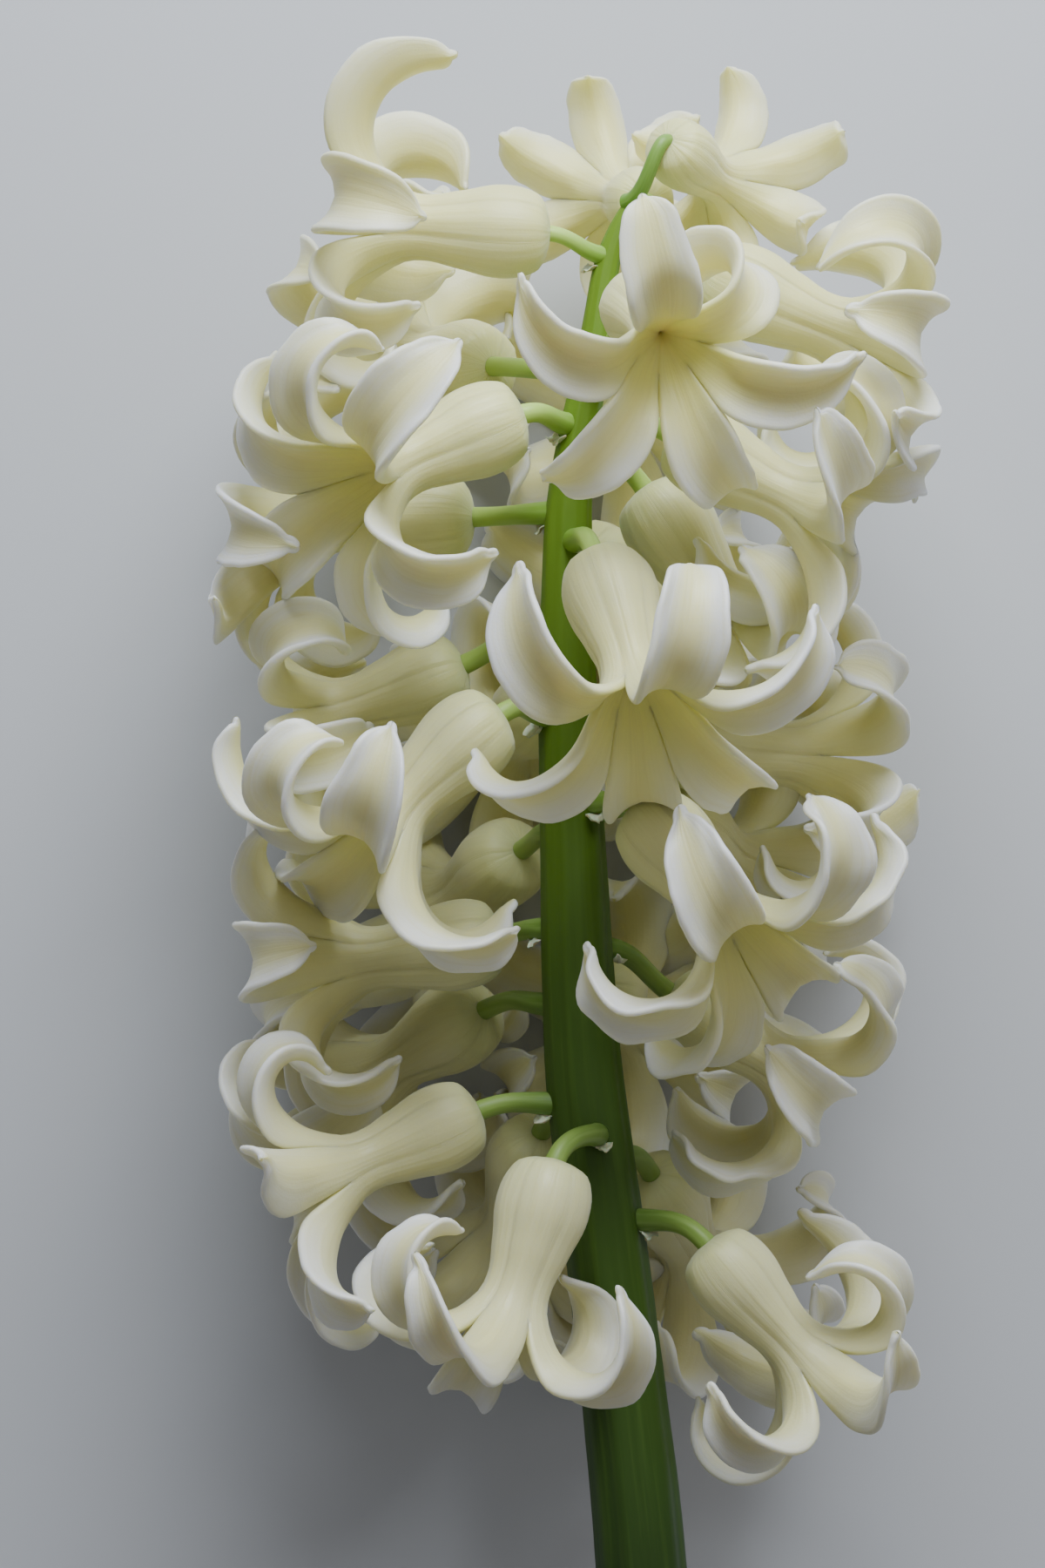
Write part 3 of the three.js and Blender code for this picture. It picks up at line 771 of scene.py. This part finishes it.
# %% Material helpers
def new_finish(name, **sockets):
    """A material with a Principled shader and its constant values, by the sockets' names."""
    material = bpy.data.materials.new(name)
    material.use_nodes = True
    shader = material.node_tree.nodes["Principled BSDF"]
    for label, value in sockets.items():
        shader.inputs[label.replace("_", " ")].default_value = value
    return material, material.node_tree, shader


def attribute(tree, name):
    """A number that the piece's tree stored on it."""
    node = tree.nodes.new("ShaderNodeAttribute")
    node.attribute_name = name
    return Field(node.outputs["Fac"])


def own_place(tree):
    return Field(tree.nodes.new("ShaderNodeTexCoord").outputs["Object"])


def tinted(share, first, second):
    """A colour between two, each a colour or a Field."""
    colours = [c if isinstance(c, Field) else (*c, 1) for c in (first, second)]
    return node_for("ShaderNodeMix", share, *[None] * 5, *colours, data_type="RGBA", out=2)


def wire(field, shader, label):
    field.socket.id_data.links.new(field.socket, shader.inputs[label])


def bumped(shader, height, distance, strength):
    node = height.socket.id_data.nodes.new("ShaderNodeBump")
    node.inputs["Distance"].default_value = distance
    node.inputs["Strength"].default_value = strength
    wire(height, node, "Height")
    wire(Field(node.outputs[0]), shader, "Normal")

# %% [markdown]
# ## Waxy petal flesh
# Petal flesh isn't a painted surface: light goes in, wanders through watery cells and comes out
# softer and warmer. Subsurface scattering does that, with a radius of about a millimetre and
# least for blue, so thin margins glow and hollows turn yellow by themselves.
#
# The colour runs with the numbers stored on the mesh: along goes from 0 at the foot to 1 at the
# mouth and 2 at the tip. The foot of the tube is tinged with green, the tube and the outer ribs
# are cream, the inner faces paler, and the throat yellow, made brighter as a painted glow where
# the deep throat would be in shade. The margins of the free tepals are nearly white and a little
# blue, partly paler flesh and partly a painted highlight. A warm band follows each middle line.
# Broad soft folds and faint veins run lengthwise, and a grain as fine as the skin's cells breaks
# up the highlights. The florets open from the bottom of the spike upwards. Low on the spike the
# colour is painted darker and greyer, as painted shade where the light falls off towards the cut
# end, and the topmost florets are tinted yellower.

# %% Petal flesh
CREAM = (0.79, 0.765, 0.41)
INNER_CREAM = (0.81, 0.785, 0.46)
THROAT_YELLOW_AND_GLOW = (0.9, 0.86, 0.32)
MIDLINE_WARM = (0.8, 0.755, 0.33)
FOOT_GREEN = (0.66, 0.72, 0.3)
MARGIN_WHITE_AND_HIGHLIGHT = (0.84, 0.84, 0.94)
VEIN_YELLOW = (0.7, 0.65, 0.32)
LOW_PAINTED_SHADE = (0.4, 0.38, 0.29)
TOP_YELLOW = (0.82, 0.775, 0.33)
VEINS_ACROSS = 13.0
FOLDS_ACROSS = 3.6
STREAK_RUN = 1.6
STREAKS_APART = 20
FOLDS_TO_VEINS = 3.2
SEAM_LEVEL = 2.1
VEIN_DEPTH = 0.00006
CELLS_A_METRE = 3600.0
CELL_SHARE = 0.5


def petal_flesh():
    finish, tree, shader = new_finish(
        "petal flesh", Roughness=0.45, Subsurface_Weight=0.75, Subsurface_Scale=0.0018,
        Subsurface_Radius=(1.0, 0.9, 0.5), Specular_IOR_Level=0.5, Sheen_Weight=0.22,
        Sheen_Roughness=0.45, Sheen_Tint=(0.9, 0.94, 1.0, 1))
    along, across, inside, luck = (attribute(tree, name) for name in KEPT)
    edge = absolute(across)
    face = tinted(inside, CREAM, INNER_CREAM)
    ribbed = smooth(edge, 0.0, 0.65, 0.75, 0.0) * smooth(along, 0.95, 1.25)
    face = tinted(ribbed * smooth(along, 1.3, 2.0, 1.0, 0.6), face, MIDLINE_WARM)
    # The throat's own yellow, made brighter than the cream as a painted glow where the deep throat
    # would be in shade.
    face = tinted(inside * smooth(along, 1.02, 1.6, 1.0, 0.0), face, THROAT_YELLOW_AND_GLOW)
    face = tinted(smooth(along, 0.02, 0.5, 0.45, 0.0) * (1 - inside), face, FOOT_GREEN)
    # Partly paler flesh, partly a painted highlight: the blade whitens and turns a little blue
    # towards its rims.
    pale_rim_and_highlight = (smooth(edge, 0.3, 1.0) * 0.6 + 0.08) * smooth(along, 1.12, 1.6)
    face = tinted(pale_rim_and_highlight, face, MARGIN_WHITE_AND_HIGHLIGHT)
    own_luck = luck * STREAKS_APART
    folds, veins = (noise_at(xyz(across * count, along * STREAK_RUN, own_luck), 1.0, detail)
                    for count, detail in ((FOLDS_ACROSS, 1.0), (VEINS_ACROSS, 3.0)))
    face = tinted(smooth(folds, 0.45, 0.7, 0.0, 0.2), face, MIDLINE_WARM)
    face = tinted(smooth(veins, 0.48, 0.75, 0.0, 0.22), face, VEIN_YELLOW)
    place = own_place(tree)
    up_the_stem = parts_of(place)[1]
    # Painted shade: the colour turns darker and greyer towards the cut end, where the light falls
    # off.
    face = tinted(smooth(up_the_stem, -0.07, 0.05, 0.32, 0.0), face, LOW_PAINTED_SHADE)
    # Yellower towards the top of the spike.
    face = tinted(smooth(up_the_stem, 0.05, 0.085, 0.0, 0.4), face, TOP_YELLOW)
    wire(face, shader, "Base Color")
    cells = noise_at(place, CELLS_A_METRE, 1.0)
    wire(veins * 0.12 + cells * 0.1 + 0.33, shader, "Roughness")
    grown_together = smooth(edge, 0.6, 1.0) * smooth(along, 1.0, 1.2, 1.0, 0.0)
    relief = (veins + folds * FOLDS_TO_VEINS - SEAM_LEVEL) * (1 - grown_together)
    bumped(shader, relief + cells * CELL_SHARE, VEIN_DEPTH, 0.6)
    return finish


PETAL = petal_flesh()
print(len(PETAL.node_tree.nodes), "nodes in", PETAL.name)

# %% [markdown]
# ## Growing the florets
# The tree is made once and run once for each floret, with that floret's numbers as its inputs.
# The numbers that helped to place the points are then taken off the mesh; the four that the
# finish reads stay on it.

# %% Grow the florets
def grow_floret(number, row, tree, luck):
    aim, beside, axis, bend = axis_of(row)
    piece = grown(
        f"floret_{number:02d}_fine", carrier_of(row, luck), tree, PETAL, size=row.size,
        length=TEPAL_LENGTH * row.size * row.reach, half_width=HALF_WIDTH * row.size * row.broad,
        ruffle=CRUMPLED.get(number, RUFFLE), base=row.base, aim=aim, beside=beside, bend=bend,
        bend_axis=axis, seed=luck.uniform(0, 100))
    for spare in [a.name for a in piece.data.attributes
                  if a.data_type == "FLOAT" and a.name not in KEPT]:
        piece.data.attributes.remove(piece.data.attributes[spare])
    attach(piece, "root")
    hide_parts(f"floret_{number:02d}")
    return piece


LUCK = random.Random(7)
flesh_tree = floret_tree()
florets = [grow_floret(i + 1, row, flesh_tree, LUCK) for i, row in enumerate(FLORETS)]
print(len(florets), "florets,", sum(len(f.data.polygons) for f in florets), "faces")

# %% [markdown]
# ## What stands in the throat
# Six anthers stand under the throat, pressed round the style, and close most of it. They are tiny
# and alike, so one is modelled, a grain with a furrow down its inner side, and instanced on
# points that know where each floret's tube runs. The grain starts as a ball of one millimetre
# round the origin, and its own x, y and z shape it.

# %% Anthers
ANTHER_AT = 9.6
ANTHER_SPREAD = 0.85
ANTHER_HALF_LONG = 1.7
ANTHER_HALF_WIDE = 0.6
ANTHER_FLATNESS = 0.8
ANTHER_FURROW = 0.3
POLLEN_A_METRE = 2600.0


def ball(tree, segments, rings):
    """A ball, with the x, y and z of its points."""
    mesh = geo("MeshUVSphere", segments, rings, 1.0, tree=tree)
    return mesh, parts_of(geo("InputPosition", tree=tree))


def planted(tree, points, grain, size=None):
    """One grain on every point, turned along the point's direction."""
    direction = named(tree, "direction", "FLOAT_VECTOR")
    aimed = node_for("FunctionNodeAlignRotationToVector", None, 1.0, direction, axis="Z")
    grains = geo("InstanceOnPoints", points, True, grain, None, None, aimed, size)
    return geo("RealizeInstances", grains), geo("InputPosition", tree=tree)


def on_axis(row, distance):
    """Place, direction and the two directions beside it, some way along a floret's tube."""
    aim, beside, axis, bend = axis_of(row)
    angle = bend * distance / TUBE_LENGTH
    reach = row.size * TUBE_LENGTH / bend
    place = Vector(row.base) + aim * reach * math.sin(angle) \
        + axis.cross(aim) * reach * (1 - math.cos(angle))
    turn = Matrix.Rotation(angle, 3, axis)
    along, first = turn @ aim, turn @ beside
    return place, along, first, along.cross(first)


def anther_points(luck):
    places, directions, sizes = [], [], []
    for row in FLORETS:
        for tepal in row.tepals:
            place, along, first, second = on_axis(row, ANTHER_AT + luck.uniform(-0.5, 0.7))
            angle = math.radians(tepal[0]) + 0.1
            spoke = first * math.cos(angle) + second * math.sin(angle)
            places.append(place + spoke * ANTHER_SPREAD * row.size)
            directions.append(along + spoke * luck.uniform(-0.05, 0.12))
            sizes.append(row.size)
    return points_with("anther points", places, direction=directions, grain_size=sizes)


def anther_tree():
    tree, given = new_tree("Anthers", Float=("Long", "Wide"))
    grain, (x, y, z) = ball(tree, 12, 10)
    furrow = smooth(absolute(x), 0.0, 0.45, ANTHER_FURROW, 0.0) * maths("SIGN", y)
    grain = moved(grain, xyz(
        x * given["Wide"], (y - furrow) * given["Wide"] * ANTHER_FLATNESS, z * given["Long"]))
    grain = stored(grain, lengthwise=z)
    grains, place = planted(tree, given["Geometry"], grain, named(tree, "grain_size"))
    return end_tree(tree, moved(grains, on_table(place, given)), given["Skin"])


def anther_skin():
    finish, tree, shader = new_finish("anther", Subsurface_Weight=0.3, Subsurface_Scale=0.0008)
    grain = noise_at(own_place(tree), POLLEN_A_METRE, 2.0)
    yellow = tinted(grain, (0.8, 0.7, 0.3), (0.88, 0.82, 0.48))
    ends = smooth(absolute(attribute(tree, "lengthwise")), 0.75, 1.0, 0.0, 0.6)
    wire(tinted(ends, yellow, (0.5, 0.36, 0.12)), shader, "Base Color")
    wire(grain * 0.3 + 0.5, shader, "Roughness")
    bumped(shader, grain, 0.00008, 0.6)
    return finish


anthers = grown("anthers", anther_points(LUCK), anther_tree(), anther_skin(),
                long=ANTHER_HALF_LONG, wide=ANTHER_HALF_WIDE)
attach(anthers, "root")
print(len(anthers.data.polygons), "faces in the anthers")

# %% [markdown]
# ## Green skins
# The stem's green runs from dark at the cut end to light near the tip, partly its own colour and
# partly painted shade where the light falls off towards the cut end, with fine pale streaks along
# it. The stalks are the same skin stretched thinner: lighter and yellower, and lightest at the
# floret. The streaks are used by both, so they are a node group made once.

# %% Streaks, stem skin and stalk skin
def streak_group():
    """Fine lengthwise streaks from the way round and the way up."""
    group = bpy.data.node_groups.new("lengthwise streaks", "ShaderNodeTree")
    for label in ("Around", "Up", "Count", "Stretch"):
        group.interface.new_socket(label, in_out="INPUT", socket_type="NodeSocketFloat")
    group.interface.new_socket("Streak", in_out="OUTPUT", socket_type="NodeSocketFloat")
    source = group.nodes.new("NodeGroupInput")
    around, up, count, stretch = (Field(s) for s in list(source.outputs)[:4])
    angle = around * (2 * math.pi)
    streak = noise_at(xyz(cosine(angle) * count, sine(angle) * count, up * stretch), 1.0, 3.0)
    wire(streak, group.nodes.new("NodeGroupOutput"), 0)
    return group


STREAKS = streak_group()


def streaks(around, up, count, stretch):
    tree = around.socket.id_data
    node = tree.nodes.new("ShaderNodeGroup")
    node.node_tree = STREAKS
    wire(around, node, "Around")
    wire(up, node, "Up")
    node.inputs["Count"].default_value = count
    node.inputs["Stretch"].default_value = stretch
    return Field(node.outputs[0])


# Greens of the stem from the cut end up: partly its own colour, partly painted shade, darkened
# towards the cut end where the light falls off.
STEM_LOW_WITH_SHADE = (0.02, 0.046, 0.01)
STEM_MIDDLE_WITH_SHADE = (0.041, 0.088, 0.01)
STEM_HIGH = (0.13, 0.235, 0.018)
PULP = (0.42, 0.5, 0.24)
BUNDLES = 17


def stem_skin():
    finish, tree, shader = new_finish(
        "stem skin", Subsurface_Weight=0.15, Subsurface_Scale=0.0015, Specular_IOR_Level=0.25,
        Subsurface_Radius=(0.6, 1.0, 0.3))
    up, around, cut, out = (attribute(tree, n) for n in ("up", "around", "cut", "from_middle"))
    # Painted shade: the green darkens towards the cut end.
    green = tinted(smooth(up, 0.08, 0.42), STEM_LOW_WITH_SHADE, STEM_MIDDLE_WITH_SHADE)
    green = tinted(smooth(up, 0.42, 0.96), green, STEM_HIGH)
    streak = streaks(around, up, 5.0, 6.0)
    green = tinted(smooth(streak, 0.45, 0.7, 0.0, 0.16), green, (0.12, 0.22, 0.03))
    bundles = sine(around * (2 * math.pi * BUNDLES)) * smooth(out, 0.45, 0.6) * cut
    pulp = tinted(smooth(bundles, 0.5, 0.9, 0.0, 0.5), PULP, (0.2, 0.3, 0.1))
    pulp = tinted(smooth(out, 0.82, 0.98), pulp, STEM_LOW_WITH_SHADE)
    wire(tinted(cut, green, pulp), shader, "Base Color")
    wire(streak * 0.2 + 0.42, shader, "Roughness")
    bumped(shader, streak, 0.0001, 0.5)
    return finish


def stalk_skin():
    finish, tree, shader = new_finish(
        "stalk skin", Subsurface_Weight=0.35, Subsurface_Scale=0.0015, Specular_IOR_Level=0.35,
        Subsurface_Radius=(0.7, 1.0, 0.3))
    share, around, high = (attribute(tree, n) for n in ("share", "around", "high"))
    root = tinted(smooth(high, 0.4, 1.0), (0.1, 0.19, 0.03), (0.2, 0.38, 0.04))
    end = tinted(smooth(high, 0.4, 1.0), (0.22, 0.34, 0.07), (0.44, 0.62, 0.14))
    green = tinted(smooth(share, 0.0, 0.9), root, end)
    green = tinted(smooth(high, 0.985, 0.997, 0.0, 0.75), green, (0.1, 0.24, 0.03))
    streak = streaks(around, share, 2.0, 1.5)
    green = tinted(smooth(streak, 0.4, 0.7, 0.0, 0.14), green, (0.5, 0.65, 0.25))
    wire(green, shader, "Base Color")
    wire(streak * 0.2 + 0.32, shader, "Roughness")
    bumped(shader, streak, 0.00006, 0.4)
    return finish

# %% [markdown]
# ## The stem
# The stem is a solid fleshy rod, thick where it was cut and drawn out to a hooked tip. A Curve to
# Mesh node would make the rod, but its ends would be flat plates. Here one grid is wrapped round
# instead: its first rows fill the cut face from the middle outwards, the next run up the stem and
# the last ones close the tip. Sample Curve gives the middle line's place and direction for each
# row, and a few low ridges run up the skin.

# %% Stem
STEM_COLUMNS = 64
CUT_ROWS = 8
STEM_ROWS = 230
TIP_ROWS = 12
STEM_GRID_ROWS = CUT_ROWS + STEM_ROWS + 1
STEM_LINE_POINTS = 240
BROAD_RIDGES = 7
NARROW_RIDGES = 11
RIDGES_TURNED = 1.3
RIDGE = 0.018
WAVES_UP = 14
WAVE_SCALE = 1.5
SKIN_WAVE = 0.1
CUT_HOLLOW = 0.5


def smooth_line(points, count):
    """The chain of points as one smooth curve."""
    line = geo("CurveSplineType", geo("MeshToCurve", points), spline_type="CATMULL_ROM")
    return geo("ResampleCurve", line, True, count)


def stem_tree():
    tree, given = new_tree("Stem", Float=("Ridge", "Wave", "Hollow"))
    line = smooth_line(given["Geometry"], STEM_LINE_POINTS)
    grid = geo("MeshGrid", 1.0, 1.0, STEM_COLUMNS + 1, STEM_GRID_ROWS, tree=tree)
    index = geo("InputIndex", tree=tree)
    row = maths("MODULO", index, STEM_GRID_ROWS)
    column = maths("FLOOR", index / STEM_GRID_ROWS)
    angle = column * (2 * math.pi / STEM_COLUMNS)
    up = clamped((row - CUT_ROWS) / STEM_ROWS)
    on_cut = clamped(row / CUT_ROWS)
    to_tip = clamped((STEM_GRID_ROWS - 1 - row) / TIP_ROWS)
    radius, centre, ahead, beside = (
        geo("SampleCurve", line, named(tree, "thick"), up, use_all_curves=True, out=k)
        for k in range(4))
    ridges = cosine(angle * BROAD_RIDGES) + cosine(angle * NARROW_RIDGES + RIDGES_TURNED)
    wave = noise_at(xyz(cosine(angle), sine(angle), up * WAVES_UP), WAVE_SCALE, 2.0)
    wave = (wave - 0.5) * 2 * given["Wave"]
    reach = radius * 0.5 * (1 + ridges * given["Ridge"] * on_cut) + wave
    reach = reach * on_cut * quarter_round(to_tip)
    sunk = (1 - on_cut) * given["Hollow"] * smooth(on_cut, 0.0, 1.0, 1.0, 0.4)
    place = summed(centre, along_axes(
        (beside, crossed(ahead, beside), ahead),
        (reach * cosine(angle), reach * sine(angle), sunk)))
    skin = stored(grid, up=up, around=column / STEM_COLUMNS, cut=1 - clamped(row - CUT_ROWS),
                  from_middle=on_cut)
    skin = moved(skin, on_table(place, given))
    return end_tree(tree, geo("MergeByDistance", skin, True, WELD), given["Skin"])


stem_points = points_with(
    "stem line", [r[:3] for r in STEM_LINE], [(i, i + 1) for i in range(len(STEM_LINE) - 1)],
    thick=[r[3] for r in STEM_LINE])
stem = grown("stem_fine", stem_points, stem_tree(), stem_skin(),
             ridge=RIDGE, wave=SKIN_WAVE, hollow=CUT_HOLLOW)
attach(stem, "root")
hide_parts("stem")
print(len(stem.data.polygons), "faces in the stem")

# %% [markdown]
# ## The stalks
# Each floret hangs on a short stalk that leaves the stem squarely and runs into the floret's foot
# along the tube's own direction. A Bezier curve with handles along those two directions does that.
# A stalk swells a little at its root. Near the tip the stem is hardly thicker than a stalk, so the
# stalks there are slimmer. Python works out the curves' points, because each depends on a floret's
# row, and one tree skins all 29 at once.

# %% Stalks
STALK_SIDES = 20
STALK_RINGS = 30
STALK_POINTS = 18
SHARES = [i / (STALK_POINTS - 1) for i in range(STALK_POINTS)]
STALK_SUNK = 1.6
STALK_PULL = 0.45
STALK_ROOT = 2.2
STALK_END = 1.9
ROOT_SWELL = 0.6
END_SWELL = 0.3
INTO_FOOT = 0.9
SLIM_UNDER = 1.7


def stem_at(height):
    """Middle and radius of the stem at a height."""
    low, high = next(pair for pair in zip(STEM_LINE, STEM_LINE[1:]) if height <= pair[1][1])
    spot = Vector(low).lerp(Vector(high), (height - low[1]) / (high[1] - low[1]))
    return spot.xyz, spot.w / 2


def stalk_line(row):
    """Points of a stalk and its thickness at each."""
    centre, radius = stem_at(row.root[0])
    slim = min(1.0, radius / SLIM_UNDER)
    out, aim = towards(row.root[1], 0), towards(*row.aim)
    start = centre + out * (radius - STALK_SUNK)
    end = Vector(row.base) + aim * INTO_FOOT
    pull = (start - end).length * STALK_PULL
    points, thicknesses = [], []
    for t in SHARES:
        s = 1 - t
        points.append(start * s**3 + (start + out * pull) * 3 * s * s * t
                      + (end - aim * pull) * 3 * s * t * t + end * t**3)
        thicknesses.append((STALK_ROOT + (STALK_END - STALK_ROOT) * t
                            + ROOT_SWELL * s**4 + END_SWELL * t**6) * slim)
    return points, thicknesses


def stalk_points():
    points, edges, thick, share, high = [], [], [], [], []
    for row in FLORETS:
        line, widths = stalk_line(row)
        edges += [(len(points) + i, len(points) + i + 1) for i in range(STALK_POINTS - 1)]
        points += line
        thick += widths
        share += SHARES
        high += [row.root[0] / STEM_LINE[-1][1]] * STALK_POINTS
    return points_with("stalk lines", points, edges, thick=thick, share=share, high=high)


def stalk_tree():
    tree, given = new_tree("Stalks", Int=("Sides",))
    line = smooth_line(given["Geometry"], STALK_RINGS)
    ring = geo("CurvePrimitiveCircle", given["Sides"], None, None, None, 1.0)
    ring = stored(ring, around=geo("InputIndex", tree=tree) / given["Sides"])
    skin = geo("CurveToMesh", line, ring, named(tree, "thick") * 0.5, True)
    skin = moved(skin, on_table(geo("InputPosition", tree=tree), given))
    return end_tree(tree, skin, given["Skin"])


stalks = grown("stalks", stalk_points(), stalk_tree(), stalk_skin(), sides=STALK_SIDES)
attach(stalks, "root")
print(len(stalks.data.polygons), "faces in the stalks")

# %% [markdown]
# ## Torn scales
# Under each stalk sits a scrap of dry skin, the rest of the scale that covered the bud. They are
# whitish, two millimetres at most and ragged. One flattened grain is curled and frayed by a noise
# that reads its place on the stem, so the instances differ although they share a mesh.

# %% Scales at the stalks
SCALE_OUT = 0.1
SCALE_WIDE = 1.05
SCALE_LONG = 0.95
SCALE_THICK = 0.16
SCALE_CURL = 0.5
SCALE_ABOVE_FOOT = 0.6
TEAR_SCALE = 1.1
TEAR_REACH = 3
FRAY = 0.6
DRY_SPOTS_A_METRE = 900.0


def scale_points(luck):
    places, directions = [], []
    for row in FLORETS:
        centre, radius = stem_at(row.root[0])
        out = towards(row.root[1] + luck.uniform(-14, 14), 0)
        drop = Vector((0, STALK_ROOT * 0.4 + luck.uniform(0, 0.35), 0))
        places.append(centre + out * (radius + SCALE_OUT) - drop)
        directions.append((out + Vector((0, luck.uniform(-0.7, -0.1), 0))).normalized())
    return points_with("scale points", places, direction=directions)


def scale_tree():
    tree, given = new_tree("Scales", Float=("Wide", "Long", "Thick", "Fray"))
    scrap, (x, y, z) = ball(tree, 16, 14)
    curled = y * given["Thick"] + x * x * SCALE_CURL
    scrap = moved(scrap, xyz(
        x * given["Wide"], curled, (z + SCALE_ABOVE_FOOT) * given["Long"]))
    scrap = stored(scrap, outward=z)
    scraps, place = planted(tree, given["Geometry"], scrap)
    tear = Field(noise_at(place, TEAR_SCALE, 2.0).socket.node.outputs["Color"])
    loose = smooth(named(tree, "outward"), -0.6, 0.8) * given["Fray"] * TEAR_REACH
    place = summed(place, scaled(vectors("SUBTRACT", tear, (0.5, 0.5, 0.5)), loose))
    return end_tree(tree, moved(scraps, on_table(place, given)), given["Skin"])


def scale_skin():
    finish, tree, shader = new_finish("dry scale", Roughness=0.6, Subsurface_Weight=0.3,
                                      Subsurface_Scale=0.0006)
    spots = noise_at(own_place(tree), DRY_SPOTS_A_METRE, 3.0)
    pale = tinted(spots, (0.5, 0.58, 0.34), (0.76, 0.78, 0.66))
    foot = smooth(attribute(tree, "outward"), -0.9, -0.2, 0.8, 0.0)
    wire(tinted(foot, pale, (0.3, 0.42, 0.12)), shader, "Base Color")
    bumped(shader, spots, 0.0001, 0.6)
    return finish


scales = grown("scales", scale_points(LUCK), scale_tree(), scale_skin(),
               wide=SCALE_WIDE, long=SCALE_LONG, thick=SCALE_THICK, fray=FRAY)
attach(scales, "root")
print(len(scales.data.polygons), "faces in the scales")

# %% [markdown]
# ## Floor, light and camera
# The flower lies on a plain pale floor, so the camera looks straight down on it, which is the
# photograph's view turned with the flower. The main light is large and soft and stands low, past
# the flower's tip and a little to the right, so it grazes the florets: their rolled rims catch it
# and the hollows keep their shade. A weaker, wider one stands higher and further right.

# %% Floor
def pale_floor():
    finish, tree, shader = new_finish("floor", Roughness=0.85)
    spots = noise_at(own_place(tree), 3.0, 2.0)
    wire(tinted(spots, (0.56, 0.57, 0.6), (0.6, 0.61, 0.63)), shader, "Base Color")
    return finish


FLOOR_HALF = 1.5
floor_mesh = bpy.data.meshes.new("floor")
floor_mesh.from_pydata([(x * FLOOR_HALF, y * FLOOR_HALF, 0)
                        for x, y in ((-1, -1), (1, -1), (1, 1), (-1, 1))], [], [(0, 1, 2, 3)])
floor = bpy.data.objects.new("floor", floor_mesh)
floor.data.materials.append(pale_floor())
bpy.context.scene.collection.objects.link(floor)

# %% [markdown]
# The light of the photograph is a large window, so both lamps are wide disks: a wide lamp has no
# hard edge in its shadow. The camera keeps the distance and the lens of the photograph, because
# both decide how much larger the near florets look than the far ones.

# %% Lights and camera
def soft_light(name, place, aim, size, power, colour):
    light = bpy.data.lights.new(name, "AREA")
    light.shape = "DISK"
    light.size = size
    light.energy = power
    light.color = colour
    lamp = bpy.data.objects.new(name, light)
    lamp.location = place
    lamp.rotation_euler = (Vector(aim) - Vector(place)).to_track_quat("-Z", "Y").to_euler()
    bpy.context.scene.collection.objects.link(lamp)


MIDDLE = (0, 0.02, 0.04)
soft_light("window", (0.04, 0.37, 0.25), MIDDLE, 0.28, 3.1, (0.87, 0.93, 1.0))
soft_light("fill", (0.4, 0.45, 0.7), MIDDLE, 0.9, 1.4, (1.0, 0.96, 0.9))

world = bpy.data.worlds.new("room")
world.use_nodes = True
world.node_tree.nodes["Background"].inputs["Color"].default_value = (0.92, 0.94, 1.0, 1)
world.node_tree.nodes["Background"].inputs["Strength"].default_value = 0.21
bpy.context.scene.world = world

# Where the camera stood over the plant, in the plant's own axes
CAMERA_AT = (0, 121, 450)
lens = bpy.data.cameras.new("camera")
lens.sensor_width = 36
lens.lens = 100
lens.clip_start = 0.01
camera = bpy.data.objects.new("camera", lens)
camera.location = LAID + Vector(CAMERA_AT) * MM
bpy.context.scene.collection.objects.link(camera)
bpy.context.scene.camera = camera
print("camera", [round(v, 4) for v in camera.location])
